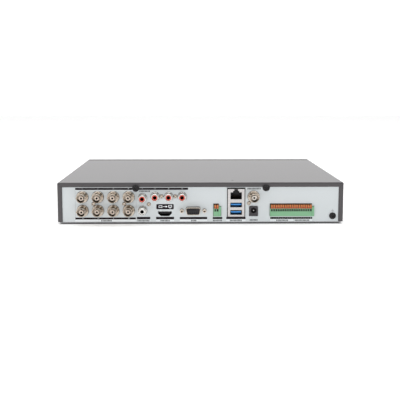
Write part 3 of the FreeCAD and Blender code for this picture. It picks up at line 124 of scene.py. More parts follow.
def make_world():
    """White studio, brightest beyond the recorder. Polished parts mirror a dark room above the camera."""
    world = bpy.data.worlds.new("studio")
    world.use_nodes = True
    tree = world.node_tree
    tree.nodes.clear()
    direction = add(tree, "TexCoord").outputs["Generated"]
    split = add(tree, "SeparateXYZ", {"Vector": direction})
    near = add(tree, "MapRange", {"Value": split.outputs["Y"], "From Min": 0.1, "From Max": 0.5},
               interpolation_type="SMOOTHSTEP")
    high = add(tree, "MapRange", {"Value": split.outputs["Z"], "From Min": 0.0, "From Max": 0.08},
               interpolation_type="SMOOTHSTEP")
    room = add(tree, "Math", {0: near.outputs[0], 1: high.outputs[0]}, operation="MULTIPLY")
    ray = add(tree, "LightPath").outputs
    dark = add(tree, "Math", {0: room.outputs[0], 1: ray["Is Glossy Ray"]}, operation="MULTIPLY")
    unseen = add(tree, "MapRange", {"Value": ray["Is Glossy Ray"], "To Min": ROOM_LIGHT, "To Max": ROOM})
    level = add(tree, "MapRange", {"Value": ray["Is Camera Ray"], "To Min": unseen.outputs[0],
                                   "To Max": ROOM_SEEN})
    beyond = add(tree, "MapRange", {"Value": split.outputs["Y"], "From Min": -0.2, "From Max": -0.9,
                                    "To Min": level.outputs[0], "To Max": BACKDROP})
    tone = ramp(tree, dark.outputs[0], [(0.0, (1.0, 1.0, 1.0)), (1.0, DARK_ROOM)])
    light = add(tree, "Background", {"Color": tone, "Strength": beyond.outputs[0]})
    output = add(tree, "OutputWorld")
    tree.links.new(light.outputs[0], output.inputs["Surface"])
    bpy.context.scene.world = world


def make_stage():
    softbox("overhead", (0.0, 0.1, 1.5), (0.0, 0.05, 0.0), 1.8, 1.2, 13.6)
    softbox("left_front", (1.15, 1.0, 0.6), (0.05, 0.1, 0.03), 1.0, 1.0, 2.0)
    softbox("fill", (0.15, 1.7, 0.3), (0.05, 0.1, 0.03), 0.7, 0.5, 9.5, mirrored=False)
    mesh = bpy.data.meshes.new("floor")
    corners = [(x * FLOOR_REACH, y * FLOOR_REACH, 0) for x, y in ((-1, -1), (1, -1), (1, 1), (-1, 1))]
    mesh.from_pydata(corners, [], [(0, 1, 2, 3)])
    floor = bpy.data.objects.new("floor", mesh)
    bpy.context.scene.collection.objects.link(floor)
    mesh.materials.append(studio_floor())


# ---------------------------------------------------------------- node helpers

def rgb(red, green, blue):
    """Linear colour from screen values of 0 to 255."""
    def linear(value):
        share = value / 255
        return share / 12.92 if share <= 0.04045 else ((share + 0.055) / 1.055) ** 2.4

    return (linear(red), linear(green), linear(blue))


def add(tree, kind, inputs=(), **settings):
    """New shader node. An input given as a socket is linked, anything else is its value."""
    node = tree.nodes.new("ShaderNode" + kind)
    for name, value in settings.items():
        setattr(node, name, value)
    for key, value in dict(inputs).items():
        socket = node.inputs[key]
        if isinstance(value, bpy.types.NodeSocket):
            tree.links.new(value, socket)
        elif socket.type == "RGBA" and len(value) == 3:
            socket.default_value = (*value, 1.0)
        else:
            socket.default_value = value
    return node


def ramp(tree, factor, stops):
    """Colour picked by factor between stops of (place, colour)."""
    node = add(tree, "ValToRGB", {"Fac": factor})
    band = node.color_ramp
    while len(band.elements) < len(stops):
        band.elements.new(0.5)
    for element, (place, colour) in zip(band.elements, stops):
        element.position = place
        element.color = (*colour, 1.0)
    return node.outputs["Color"]


def shades(colour, spread):
    """Two ramp stops around a colour, spread apart by that share."""
    darker = tuple(c * (1 - spread) for c in colour)
    lighter = tuple(min(1.0, c * (1 + spread)) for c in colour)
    return [(0.3, darker), (0.7, lighter)]


def coordinates(tree, stretch=(1, 1, 1)):
    """Object coordinates, in metres, stretched along each axis."""
    here = add(tree, "TexCoord").outputs["Object"]
    return add(tree, "Mapping", {"Vector": here, "Scale": stretch}).outputs[0]


def grain(tree, size_mm, detail=2.0, stretch=(1, 1, 1)):
    """Noise from 0 to 1 with features about size_mm across."""
    node = add(tree, "TexNoise", {"Vector": coordinates(tree, stretch), "Scale": 1 / (size_mm * MM),
                                  "Detail": detail})
    return node.outputs["Fac"]


def span(tree, factor, low, high):
    """Noise stretched to run from low to high."""
    node = add(tree, "MapRange", {"Value": factor, "From Min": 0.3, "From Max": 0.7,
                                  "To Min": low, "To Max": high})
    return node.outputs[0]


def rounded(tree, radius_mm):
    """Surface normal with the edges rounded off."""
    return add(tree, "Bevel", {"Radius": radius_mm * MM}, samples=6).outputs["Normal"]


def relief(tree, height, depth_mm, normal=None):
    """Surface normal with that height pressed into it."""
    inputs = {"Height": height, "Distance": depth_mm * MM, "Strength": 1.0}
    if normal is not None:
        inputs["Normal"] = normal
    return add(tree, "Bump", inputs).outputs["Normal"]


def worn(tree, radius_mm):
    """From 0 on a flat to 1 on a sharp outer or inner edge."""
    smooth = rounded(tree, radius_mm)
    true = add(tree, "NewGeometry").outputs["Normal"]
    level = add(tree, "VectorMath", {0: smooth, 1: true}, operation="DOT_PRODUCT").outputs["Value"]
    return add(tree, "MapRange", {"Value": level, "From Min": 0.995, "From Max": 0.8}).outputs[0]


def blend_colours(tree, factor, first, second):
    node = add(tree, "Mix", data_type="RGBA")
    for key, value in (("Factor_Float", factor), ("A_Color", first), ("B_Color", second)):
        socket = next(s for s in node.inputs if s.identifier == key)
        if isinstance(value, bpy.types.NodeSocket):
            tree.links.new(value, socket)
        elif isinstance(value, (int, float)):
            socket.default_value = value
        else:
            socket.default_value = (*value, 1.0)
    return next(s for s in node.outputs if s.identifier == "Result_Color")


def hollowed(tree, colour, reach_mm, depth):
    """Painted shade: colour that darkens by up to depth where walls stand closer than reach_mm, as in a
    bore or a gap.
    """
    free = add(tree, "AmbientOcclusion", {"Distance": reach_mm * MM}, samples=8).outputs["AO"]
    share = add(tree, "MapRange", {"Value": free, "From Min": 0.25, "From Max": 0.85, "To Min": depth,
                                   "To Max": 0.0}, interpolation_type="SMOOTHSTEP").outputs[0]
    return blend_colours(tree, share, colour, (0.0, 0.0, 0.0))


def new_material(name):
    material = bpy.data.materials.new(name)
    material.use_nodes = True
    tree = material.node_tree
    return material, tree, tree.nodes["Principled BSDF"]


def shader_inputs(tree, shader, **values):
    """Sets the shader's sockets by name, with _ for a space."""
    for name, value in values.items():
        socket = shader.inputs[name.replace("_", " ")]
        if isinstance(value, bpy.types.NodeSocket):
            tree.links.new(value, socket)
        elif socket.type == "RGBA":
            socket.default_value = (*value, 1.0)
        else:
            socket.default_value = value


# ---------------------------------------------------------------- materials

def studio_floor():
    """Pale matt sweep, a little self-lit so that only the closest shadow shows, with a painted contact
    shadow where it runs close under the recorder.
    """
    material, tree, shader = new_material("studio_floor")
    tone = ramp(tree, grain(tree, 40.0), shades((0.93, 0.93, 0.93), 0.005))
    # painted contact shadow: the floor darkens where the recorder stands close above it
    tone = hollowed(tree, tone, 3.0, 0.9)
    shader_inputs(tree, shader, Base_Color=tone, Roughness=0.7, Specular_IOR_Level=0.2,
                  Emission_Color=tone, Emission_Strength=0.4)
    return material


def powder_coat(name, colour, edge, radius_mm=0.3, gloss=(0.38, 0.42)):
    """Baked satin paint: fine orange peel, faint clouding, edges rubbed a little lighter, and painted shade
    where walls stand close.
    """
    material, tree, shader = new_material(name)
    cloud = ramp(tree, grain(tree, 25.0), shades(colour, 0.02))
    fleck = ramp(tree, grain(tree, 0.25, 1.0), shades(colour, 0.08))
    base = blend_colours(tree, 0.5, cloud, fleck)
    rub = add(tree, "Math", {0: worn(tree, radius_mm), 1: span(tree, grain(tree, 6.0), 0.1, 0.4)},
              operation="MULTIPLY").outputs[0]
    # painted shade: the paint darkens in corners and gaps, where walls stand close
    base = hollowed(tree, blend_colours(tree, rub, base, edge), 2.0, 0.6)
    peel = relief(tree, grain(tree, 0.5, 1.0), 0.0025, rounded(tree, radius_mm))
    shader_inputs(tree, shader, Base_Color=base, Normal=peel,
                  Roughness=span(tree, grain(tree, 0.8), *gloss))
    return material


def printed_film(name, colour):
    """Matt polycarbonate overlay with a tooth too fine to see as more than a faint mottle, and faint
    painted shade where parts stand close to it.
    """
    material, tree, shader = new_material(name)
    base = blend_colours(tree, 0.5, ramp(tree, grain(tree, 18.0), shades(colour, 0.012)),
                         ramp(tree, grain(tree, 0.35, 1.0), shades(colour, 0.025)))
    tooth = relief(tree, grain(tree, 0.3, 2.0), 0.004)
    # faint painted shade where sockets and edges stand close to the film
    shader_inputs(tree, shader, Base_Color=hollowed(tree, base, 1.2, 0.12), Normal=tooth,
                  Roughness=span(tree, grain(tree, 12.0), 0.5, 0.58), Specular_IOR_Level=0.3)
    return material


def printing_ink(name, colour):
    """Screen-printed ink, slightly uneven where the mesh left it."""
    material, tree, shader = new_material(name)
    base = ramp(tree, grain(tree, 0.4, 2.0), shades(colour, 0.06))
    shader_inputs(tree, shader, Base_Color=base, Roughness=span(tree, grain(tree, 3.0), 0.5, 0.6),
                  Normal=relief(tree, grain(tree, 0.2), 0.003), Specular_IOR_Level=0.2)
    return material


def moulded(name, colour, gloss, radius_mm=0.15, tooth_mm=0.25, depth_mm=0.006, spread=0.05, shade_reach_mm=1.5):
    """Injection-moulded plastic: spark-eroded tooth, flow clouding, softened edges and painted shade in
    crevices.
    """
    material, tree, shader = new_material(name)
    base = blend_colours(tree, 0.4, ramp(tree, grain(tree, 4.0), shades(colour, spread)),
                         ramp(tree, grain(tree, tooth_mm, 1.0), shades(colour, spread)))
    tooth = relief(tree, grain(tree, tooth_mm, 2.0), depth_mm, rounded(tree, radius_mm))
    # painted shade darkens crevices and gaps
    shader_inputs(tree, shader, Base_Color=hollowed(tree, base, shade_reach_mm, 0.9), Normal=tooth,
                  Roughness=span(tree, grain(tree, 5.0), *gloss))
    return material


def lever_plastic(name, colour, lit):
    """Moulded lever: painted light makes the upper faces paler, as the overhead lamp falls on them, and
    painted shade darkens the edges, standing for the shadowed gaps between levers.
    """
    material, tree, shader = new_material(name)
    # painted light: faces turned upwards blend towards the paler lit colour
    up = add(tree, "SeparateXYZ", {"Vector": add(tree, "NewGeometry").outputs["Normal"]}).outputs["Z"]
    share = add(tree, "MapRange", {"Value": up, "From Min": 0.1, "From Max": 0.6}).outputs[0]
    base = blend_colours(tree, share, ramp(tree, grain(tree, 0.5), shades(colour, 0.06)),
                         ramp(tree, grain(tree, 0.5), shades(lit, 0.06)))
    # painted shade: edges darken towards a near-black copy of the colour, for the shadowed gaps between
    # levers
    edge_shade = add(tree, "Math", {0: worn(tree, 0.5), 1: 0.85}, operation="MULTIPLY").outputs[0]
    base = blend_colours(tree, edge_shade, base, tuple(c * 0.15 for c in colour))
    tooth = relief(tree, grain(tree, 0.3, 2.0), 0.005, rounded(tree, 0.2))
    # painted shade where walls stand close
    shader_inputs(tree, shader, Base_Color=hollowed(tree, base, 1.0, 0.9), Normal=tooth,
                  Roughness=span(tree, grain(tree, 3.0), 0.35, 0.45))
    return material


def sheet_metal(name, colour, gloss, along, radius_mm=0.12, scratch_mm=0.004, shade_reach_mm=1.0):
    """Rolled or plated sheet: hairlines along one axis, a faint blotch in the plating, and painted shade in
    crevices.
    """
    material, tree, shader = new_material(name)
    stretch = tuple(0.03 if axis == along else 1.0 for axis in "XYZ")
    hair = grain(tree, 0.12, 3.0, stretch)
    base = blend_colours(tree, 0.5, ramp(tree, grain(tree, 5.0), shades(colour, 0.05)),
                         ramp(tree, hair, shades(colour, 0.06)))
    # painted shade darkens crevices and gaps
    shader_inputs(tree, shader, Base_Color=hollowed(tree, base, shade_reach_mm, 0.85), Metallic=1.0,
                  Roughness=span(tree, hair, *gloss),
                  Normal=relief(tree, hair, scratch_mm, rounded(tree, radius_mm)))
    return material


def turned_nickel(name, colour, gloss, shade_reach_mm=5.0, depth=0.35):
    """Nickel plate over a lathe-turned part: the tool's rings run round the piece's own Y axis. Painted
    shade darkens its bores.
    """
    material, tree, shader = new_material(name)
    rings = add(tree, "TexNoise", {"Vector": radial(tree), "Scale": 1 / (0.16 * MM),
                                   "Detail": 2.0}).outputs["Fac"]
    blotch = grain(tree, 1.5, 3.0)
    base = blend_colours(tree, 0.5, ramp(tree, rings, shades(colour, 0.10)),
                         ramp(tree, blotch, shades(colour, 0.08)))
    # painted shade: the nickel darkens deep in bores and corners
    shader_inputs(tree, shader, Base_Color=hollowed(tree, base, shade_reach_mm, depth), Metallic=1.0,
                  Roughness=span(tree, blotch, *gloss), Normal=relief(tree, rings, 0.0012))
    return material


def radial(tree):
    """Distance from the Y axis and place along it, with the angle left out."""
    here = add(tree, "SeparateXYZ", {"Vector": coordinates(tree)})
    flat = add(tree, "CombineXYZ", {"X": here.outputs["X"], "Y": here.outputs["Z"]}).outputs[0]
    radius = add(tree, "VectorMath", {0: flat}, operation="LENGTH").outputs["Value"]
    return add(tree, "CombineXYZ", {"X": radius, "Y": here.outputs["Y"]}).outputs[0]


def rubber(name):
    """Matt black rubber with a moulded tooth."""
    material, tree, shader = new_material(name)
    base = ramp(tree, grain(tree, 1.2, 4.0), shades((0.022, 0.022, 0.022), 0.3))
    shader_inputs(tree, shader, Base_Color=base, Roughness=span(tree, grain(tree, 2.0), 0.7, 0.85),
                  Normal=relief(tree, grain(tree, 0.3, 3.0), 0.02, rounded(tree, 0.3)))
    return material


def circuit_board(name):
    """Green solder mask over a web of copper tracks, with the odd tinned pad."""
    material, tree, shader = new_material(name)
    tracks = add(tree, "TexBrick", {"Vector": coordinates(tree), "Scale": 260.0, "Mortar Size": 0.035,
                                    "Brick Width": 0.9, "Row Height": 0.22,
                                    "Color1": (0.006, 0.075, 0.032), "Color2": (0.008, 0.095, 0.040),
                                    "Mortar": (0.02, 0.16, 0.07)})
    pads = add(tree, "TexVoronoi", {"Vector": coordinates(tree), "Scale": 320.0})
    pad = add(tree, "MapRange", {"Value": pads.outputs["Distance"], "From Min": 0.16,
                                 "From Max": 0.13}).outputs[0]
    base = blend_colours(tree, pad, tracks.outputs["Color"], (0.52, 0.50, 0.45))
    shader_inputs(tree, shader, Base_Color=base, Metallic=pad,
                  Roughness=span(tree, grain(tree, 4.0), 0.25, 0.4),
                  Normal=relief(tree, tracks.outputs["Fac"], 0.03))
    return material


def striped_cable(name):
    """Flat ribbon: grey cores side by side across X."""
    material, tree, shader = new_material(name)
    cores = add(tree, "TexWave", {"Vector": coordinates(tree), "Scale": 250.0, "Distortion": 0.0},
                bands_direction="X").outputs["Fac"]
    base = ramp(tree, cores, [(0.0, (0.22, 0.22, 0.21)), (1.0, (0.55, 0.55, 0.53))])
    shader_inputs(tree, shader, Base_Color=base, Roughness=0.45, Normal=relief(tree, cores, 0.25))
    return material


def smoked_window(name):
    """Glossy dark pane with softened edges."""
    material, tree, shader = new_material(name)
    base = ramp(tree, grain(tree, 30.0), shades((0.012, 0.008, 0.010), 0.2))
    shader_inputs(tree, shader, Base_Color=base, Roughness=span(tree, grain(tree, 20.0, 4.0), 0.04, 0.09),
                  Normal=rounded(tree, 0.2), Coat_Weight=0.3)
    return material


NICKEL = rgb(204, 192, 178)

MATERIALS = {
    "cover_paint": powder_coat("cover_paint", rgb(74, 71, 73), rgb(112, 110, 112)),
    "panel_steel": sheet_metal("panel_steel", rgb(176, 176, 180), (0.35, 0.5), "X", 0.3, 0.003),
    "bezel_plastic": moulded("bezel_plastic", rgb(46, 45, 47), (0.5, 0.62), 0.5, 0.4, 0.015),
    "smoked_window": smoked_window("smoked_window"),
    "label_film": printed_film("label_film", rgb(201, 206, 208)),
    "foot_rubber": rubber("foot_rubber"),
    "circuit_board": circuit_board("circuit_board"),
    "component_black": moulded("component_black", rgb(34, 31, 34), (0.45, 0.6), 0.15, 0.2, 0.01),
    "bare_aluminium": sheet_metal("bare_aluminium", rgb(205, 205, 208), (0.35, 0.5), "Y", 0.3, 0.012),
    "plated_steel": sheet_metal("plated_steel", rgb(200, 197, 196), (0.22, 0.34), "Z", 0.15, 0.002, 1.5),
    "disc_surface": sheet_metal("disc_surface", rgb(215, 215, 220), (0.06, 0.12), "Z", 0.1, 0.0005),
    "lead_sheath": moulded("lead_sheath", rgb(42, 42, 44), (0.4, 0.5), 0.3),
    "ribbon_sheath": striped_cable("ribbon_sheath"),
    "socket_nickel": sheet_metal("socket_nickel", NICKEL, (0.12, 0.22), "Z", 0.2, 0.002, 1.2),
    "contact_gold": sheet_metal("contact_gold", rgb(226, 186, 110), (0.15, 0.25), "Y", 0.1, 0.002, 6.0),
    "audio_red": moulded("audio_red", rgb(224, 94, 78), (0.3, 0.4), 0.2, 0.3, 0.003),
    "audio_white": moulded("audio_white", rgb(240, 238, 234), (0.3, 0.4), 0.2, 0.3, 0.003, 0.02),
    # wider painted shade, so that the tongue tops read dark in their narrow openings
    "usb_blue": moulded("usb_blue", rgb(62, 142, 216), (0.3, 0.42), 0.2, 0.3, 0.004, shade_reach_mm=3.0),
    "terminal_green": moulded("terminal_green", rgb(122, 172, 133), (0.4, 0.5), 0.2, 0.35, 0.006),
    "lever_orange": lever_plastic("lever_orange", rgb(186, 92, 56), rgb(206, 124, 70)),
    "screw_black": powder_coat("screw_black", rgb(24, 20, 23), rgb(74, 70, 72), 0.2, (0.4, 0.5)),
}
INK_BLACK = printing_ink("ink_black", rgb(26, 16, 23))
INK_WHITE = printing_ink("ink_white", rgb(236, 240, 242))
INK_PALE = printing_ink("ink_pale", rgb(222, 227, 229))
INK_GREY = printing_ink("ink_grey", rgb(50, 49, 52))
INK_LINE = printing_ink("ink_line", rgb(150, 152, 156))
TURNED = turned_nickel("turned_nickel", NICKEL, (0.07, 0.14))
TURNED_BRIGHT = turned_nickel("turned_bright", rgb(214, 212, 208), (0.08, 0.15), 3.0)
# Near-black video contacts: painted shade standing for the dark of the deep holes they sit in.
CONTACT_SHADE_DARK = sheet_metal("contact_bronze", rgb(20, 14, 12), (0.5, 0.6), "Y", 0.05, 0.001, 6.0)
# Near-black steel: painted shade on the audio sleeves and the tongue tops, for the dark inside their
# openings; it also darkens the digital video shell.
DARK_STEEL = sheet_metal("dark_steel", rgb(40, 38, 38), (0.4, 0.6), "Y", 0.05, 0.002)
CORE_CREAM = moulded("core_cream", rgb(224, 208, 194), (0.35, 0.5), 0.1, 0.3, 0.004, shade_reach_mm=1.0)
CORE_WHITE = moulded("core_white", rgb(240, 234, 226), (0.35, 0.5), 0.1, 0.3, 0.004, 0.02, 1.0)
JACK_BLACK = moulded("jack_black", rgb(56, 53, 56), (0.4, 0.55), 0.3, 0.3, 0.01)
# Near-black plastic for painted shade in the wire holes and in the gaps of the panel.
SHADE_BLACK = moulded("shade_black", rgb(9, 8, 9), (0.5, 0.65), 0.1, 0.3, 0.004)
LIGHT_GREEN = moulded("light_green", rgb(110, 190, 120), (0.3, 0.45), 0.1, 0.3, 0.003)
OWN_FINISH = {"digital_video_shell": DARK_STEEL, "dc_jack": JACK_BLACK}


def dress_cad_nodes():
    """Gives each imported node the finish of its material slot, but for the two that have their own."""
    for name, node in frame["nodes"].items():
        for slot in node.material_slots:
            packed = slot.material.name.split(".")[0]
            if packed in MATERIALS:
                slot.material = MATERIALS[packed]
        if name in OWN_FINISH:
            node.material_slots[0].material = OWN_FINISH[name]


# ---------------------------------------------------------------- mesh helpers

def new_piece(name, mesh, material, at=(0, 0, 0)):
    """Shown object from a mesh in millimetres, riding on the recorder's body."""
    mesh.transform(Matrix.Scale(MM, 4))
    mesh.materials.append(material)
    piece = bpy.data.objects.new(name, mesh)
    piece.location = Vector(at) * MM
    bpy.context.scene.collection.objects.link(piece)
    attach(piece, BODY)
    return piece


def mesh_from(build, name):
    """Mesh of what the build function adds to an empty shape."""
    shape = bmesh.new()
    build(shape)
    mesh = bpy.data.meshes.new(name)
    shape.to_mesh(mesh)
    shape.free()
    return mesh


def add_block(shape, x0, x1, y0, y1, z0, z1):
    """Closed box between two corners."""
    size = Vector((x1 - x0, y1 - y0, z1 - z0))
    middle = Vector((x1 + x0, y1 + y0, z1 + z0)) / 2
    bmesh.ops.create_cube(shape, size=1.0,
                          matrix=Matrix.Translation(middle) @ Matrix.Diagonal((*size, 1.0)))


def add_outline(shape, points, y0, y1):
    """Closed plate from an outline of (x, z) points, between two planes."""
    back = [shape.verts.new((x, y0, z)) for x, z in points]
    front = [shape.verts.new((x, y1, z)) for x, z in points]
    shape.faces.new(front)
    shape.faces.new(back[::-1])
    count = len(points)
    for i in range(count):
        j = (i + 1) % count
        shape.faces.new((back[i], back[j], front[j], front[i]))


def rounded_outline(x0, x1, z0, z1, radius, steps=6):
    """Rectangle with round corners, as (x, z) points."""
    points = []
    for corner_x, corner_z, start in ((x1, z1, 0), (x0, z1, 90), (x0, z0, 180), (x1, z0, 270)):
        middle_x = corner_x - math.copysign(radius, corner_x - (x0 + x1) / 2)
        middle_z = corner_z - math.copysign(radius, corner_z - (z0 + z1) / 2)
        for step in range(steps + 1):
            angle = math.radians(start + 90 * step / steps)
            points.append((middle_x + radius * math.cos(angle), middle_z + radius * math.sin(angle)))
    return points


def lathe(name, profile, segments=64):
    """Solid turned from (radius, y) points round the Y axis. A point of radius 0 closes it on the axis."""
    def build(shape):
        tips = {i: shape.verts.new((0, y, 0)) for i, (radius, y) in enumerate(profile) if radius == 0}
        rows = []
        for step in range(segments):
            angle = 2 * math.pi * step / segments
            rows.append([tips[i] if i in tips else
                         shape.verts.new((radius * math.cos(angle), y, radius * math.sin(angle)))
                         for i, (radius, y) in enumerate(profile)])
        for this, after in zip(rows, rows[1:] + rows[:1]):
            for i in range(len(profile)):
                j = (i + 1) % len(profile)
                corners = [this[i], this[j], after[j], after[i]]
                ring = [corner for k, corner in enumerate(corners) if corner not in corners[:k]]
                if len(ring) > 2:
                    shape.faces.new(ring)
        bmesh.ops.recalc_face_normals(shape, faces=shape.faces)

    return mesh_from(build, name)


def add_strip(shape, x0, x1, path, thickness):
    """Bent strip: a path of (y, z) points, as thick as that along Z, extruded between x0 and x1."""
    outline = path + [(y, z + thickness) for y, z in path[::-1]]
    left = [shape.verts.new((x0, y, z)) for y, z in outline]
    right = [shape.verts.new((x1, y, z)) for y, z in outline]
    count = len(path)
    for i in range(count - 1):
        far = 2 * count - 1 - i
        shape.faces.new((left[i], left[i + 1], left[far - 1], left[far]))
        shape.faces.new((right[far], right[far - 1], right[i + 1], right[i]))
    for i in range(2 * count):
        j = (i + 1) % (2 * count)
        shape.faces.new((left[j], left[i], right[i], right[j]))


def soften(piece, width_mm, segments=2, angle=35):
    """Rounded edges on a piece, with flats that stay flat."""
    for face in piece.data.polygons:
        face.use_smooth = True
    bevel = piece.modifiers.new("edges", "BEVEL")
    bevel.width = width_mm * MM
    bevel.segments = segments
    bevel.limit_method = "ANGLE"
    bevel.angle_limit = math.radians(angle)
    bevel.harden_normals = True
    return piece


# ---------------------------------------------------------------- video and audio sockets

PANEL_BACK = -2.4                           # where a socket meets its housing, from the lip plane

# Each profile is a list of (radius, y) points, with y from the lip plane.
VIDEO_PROFILE = [
    (6.5, PANEL_BACK), (6.5, 1.2), (6.2, 1.5), (5.65, 1.5), (5.5, 2.4), (5.3, 2.6), (4.55, 2.6),
    (4.55, 3.3), (4.8, 3.6), (4.8, 11.75), (4.6, 12.0), (4.45, 12.0), (4.05, 11.5), (4.05, 2.9),
    (2.55, 2.9), (2.55, PANEL_BACK),
]
INSULATOR_PROFILE = [
    (2.5, PANEL_BACK), (2.5, 9.1), (2.25, 9.4), (1.4, 9.4), (1.2, 9.2), (1.2, PANEL_BACK),
]
CONTACT_PROFILE = [
    (0, PANEL_BACK), (1.15, PANEL_BACK), (1.15, 7.2), (1.05, 7.4), (0.8, 7.4), (0.7, 7.2), (0.7, 3.0),
    (0, 3.0),
]
AUDIO_PROFILE = [
    (4.9, PANEL_BACK), (4.9, 0.6), (4.6, 0.9), (4.3, 0.9), (4.15, 1.1), (4.15, 8.85), (3.8, 9.2),
    (3.4, 9.2), (3.15, 9.0), (3.15, PANEL_BACK),
]
CORE_PROFILE = [
    (0, PANEL_BACK), (3.1, PANEL_BACK), (3.1, 8.7), (2.9, 8.95), (2.25, 8.95), (2.05, 8.7), (2.05, -0.4),
    (0, -0.4),
]
SLEEVE_PROFILE = [
    (0, -0.35), (2.0, -0.35), (2.0, 8.2), (1.75, 8.2), (1.65, 8.0), (1.65, 1.0), (0, 1.0),
]
JACK_PIN_PROFILE = [
    (0, -11.5), (0.95, -11.5), (0.95, -0.9), (0.8, -0.6), (0.55, -0.42), (0, -0.4),
]
LUG_RADIUS = 1.0
LUG_Y = 8.4
LUG_REACH = 5.85                            # a lug's outer end, from the barrel's axis
LUG_ROOT = 4.5


def add_lugs(shape):
    """Two round bayonet lugs across the barrel."""
    for side in (-1, 1):
        turn = Matrix.Rotation(math.radians(90), 4, "Y")
        middle = Matrix.Translation((side * (LUG_REACH + LUG_ROOT) / 2, LUG_Y, 0))
        bmesh.ops.create_cone(shape, cap_ends=True, segments=24, radius1=LUG_RADIUS, radius2=LUG_RADIUS,
                              depth=LUG_REACH - LUG_ROOT, matrix=middle @ turn)


def turned_piece(name, profile, material, at, replaced, edge=0.08, segments=64, extra=None):
    """Lathe-turned piece whose axis passes through at, standing for a CAD node."""
    mesh = lathe(name, profile, segments)
    if extra:
        shape = bmesh.new()
        shape.from_mesh(mesh)
        extra(shape)
        shape.to_mesh(mesh)
        shape.free()
    piece = new_piece(name, mesh, material, (at.x, LIP_Y, at.z))
    soften(piece, edge)
    if replaced:
        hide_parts(replaced)
    return piece


def make_video_sockets():
    for mount in sorted(name for name in MOUNTS if name.startswith("video_")):
        at = MOUNTS[mount]
        output = mount == "video_out"
        turned_piece(mount + "_shell", VIDEO_PROFILE, TURNED, at,
                     "video_out_shell" if output else "video_in_shells", 0.12, extra=add_lugs)
        turned_piece(mount + "_core", INSULATOR_PROFILE, CORE_WHITE if output else CORE_CREAM,
                     at, "video_insulators", 0.1)
        # near-black contact: painted shade for the dark hole
        turned_piece(mount + "_contact", CONTACT_PROFILE, CONTACT_SHADE_DARK, at,
                     "contact_pins", 0.05, 32)


def make_audio_sockets():
    for mount in sorted(name for name in MOUNTS if name.startswith("audio_")):
        at = MOUNTS[mount]
        output = mount == "audio_out"
        colour = "audio_white" if output else "audio_red"
        turned_piece(mount + "_shell", AUDIO_PROFILE, TURNED_BRIGHT, at,
                     "audio_shells", 0.1)
        turned_piece(mount + "_core", CORE_PROFILE, MATERIALS[colour], at,
                     "audio_out_insert" if output else "audio_in_inserts", 0.12)
        # dark sleeve: painted shade for the dark inside the socket's hole
        turned_piece(mount + "_sleeve", SLEEVE_PROFILE, DARK_STEEL, at, None, 0.06)


def make_jack_pin():
    turned_piece("jack_pin", JACK_PIN_PROFILE, MATERIALS["plated_steel"],
                 MOUNTS["power_jack"], "contact_pins", 0.05, 32)


# ---------------------------------------------------------------- network, USB, monitor and terminals

GAP = 0.02                                  # keeps a thin piece clear of the surface beside it
NET_WIRES = 8
WIRE_PITCH = 1.02
WIRE_WIDTH = 0.36
WIRE_THICK = 0.28
WIRE_LOW = 27.6                             # height of the network wires' front ends
WIRE_RISE = 2.7                             # from there to their back ends
NET_BACK = -14.0                            # back wall of the network socket, from the lip plane
USB_HEIGHT = 5.3
USB_PITCH = MOUNTS["usb_upper"].z - MOUNTS["usb_lower"].z
TONGUE_RISE = 2.55                          # tongue's lower face above the lowest point of its node
TONGUE_LOW = box_mm("usb_tongues")[0].z + TONGUE_RISE
TONGUE_THICK = 1.3
SPRING_PLACES = (-3.3, 3.3)
SPRING_WIDTH = 2.0
SPRING_THICK = 0.2
PAD_PLACES = (-3.5, -1.0, 1.0, 3.5)
PAD_WIDTH = 1.0
PAD_THICK = 0.06
# dark plates on the tongues' tops: painted shade
TONGUE_SHADE_WIDTH = 11.2
TONGUE_SHADE_THICK = 0.08
# painted shade in the wire holes, and a painted shadow strip below each
HOLE_SHADE_WIDTH = 1.82
HOLE_SHADE_HEIGHT = 2.18
SHADOW_STRIP_WIDTH = 1.7
SHADOW_STRIP_DROP = 1.5                           # its lower edge, below the middle of the wire hole
GAP_SHADE_DEPTH = 0.9                            # how far the painted shade in the gaps reaches behind the film's face
GAP_SHADE_LIP = 0.08                             # thickness of the shade's lip on the tower's can
GAP_SHADE_OVERLAP = 0.55                         # how far that lip comes down over the can
LIGHTS = 3
LIGHT_PITCH = 9
LIGHT_INSET = 14                            # first light, from the pane's edge
LIGHT_WIDTH = 3.2
LIGHT_HEIGHT = 1.0
D_WIDTH = 16.9
D_HEIGHT = 8.1
D_SLANT = 1.5                               # half-width lost from top to bottom
D_CORNER = 2.2
D_STEPS = 8                                 # straight pieces in each round corner
D_REACH = 5.6                               # rim's front edge from the lip plane

# Cross-sections swept round the D shape, as (grow, y) points: the collar's y from the film, the lip's
# from the rim's front edge.
D_COLLAR = [(0.25, -0.1), (0.25, 0.45), (0.5, 0.7), (0.9, 0.7), (1.25, 0.35), (1.25, 0.02), (0.9, -0.1)]
D_LIP = [(0.06, -1.2), (0.06, -0.15), (-0.12, 0.05), (-0.75, 0.05), (-0.95, -0.15), (-0.95, -0.47),
         (-0.3, -0.47), (-0.3, -1.2)]


def build_network_wires(shape):
    """Eight gold spring wires, each sloping up towards the back."""
    back = LIP_Y + NET_BACK
    path = [(back, WIRE_LOW + WIRE_RISE), (back + 2.2, WIRE_LOW + WIRE_RISE), (back + 9.6, WIRE_LOW + 0.15),
            (back + 10, WIRE_LOW)]
    for wire in range(NET_WIRES):
        x = MOUNTS["network_socket"].x + (wire - (NET_WIRES - 1) / 2) * WIRE_PITCH
        add_strip(shape, x - WIRE_WIDTH / 2, x + WIRE_WIDTH / 2, path, WIRE_THICK)


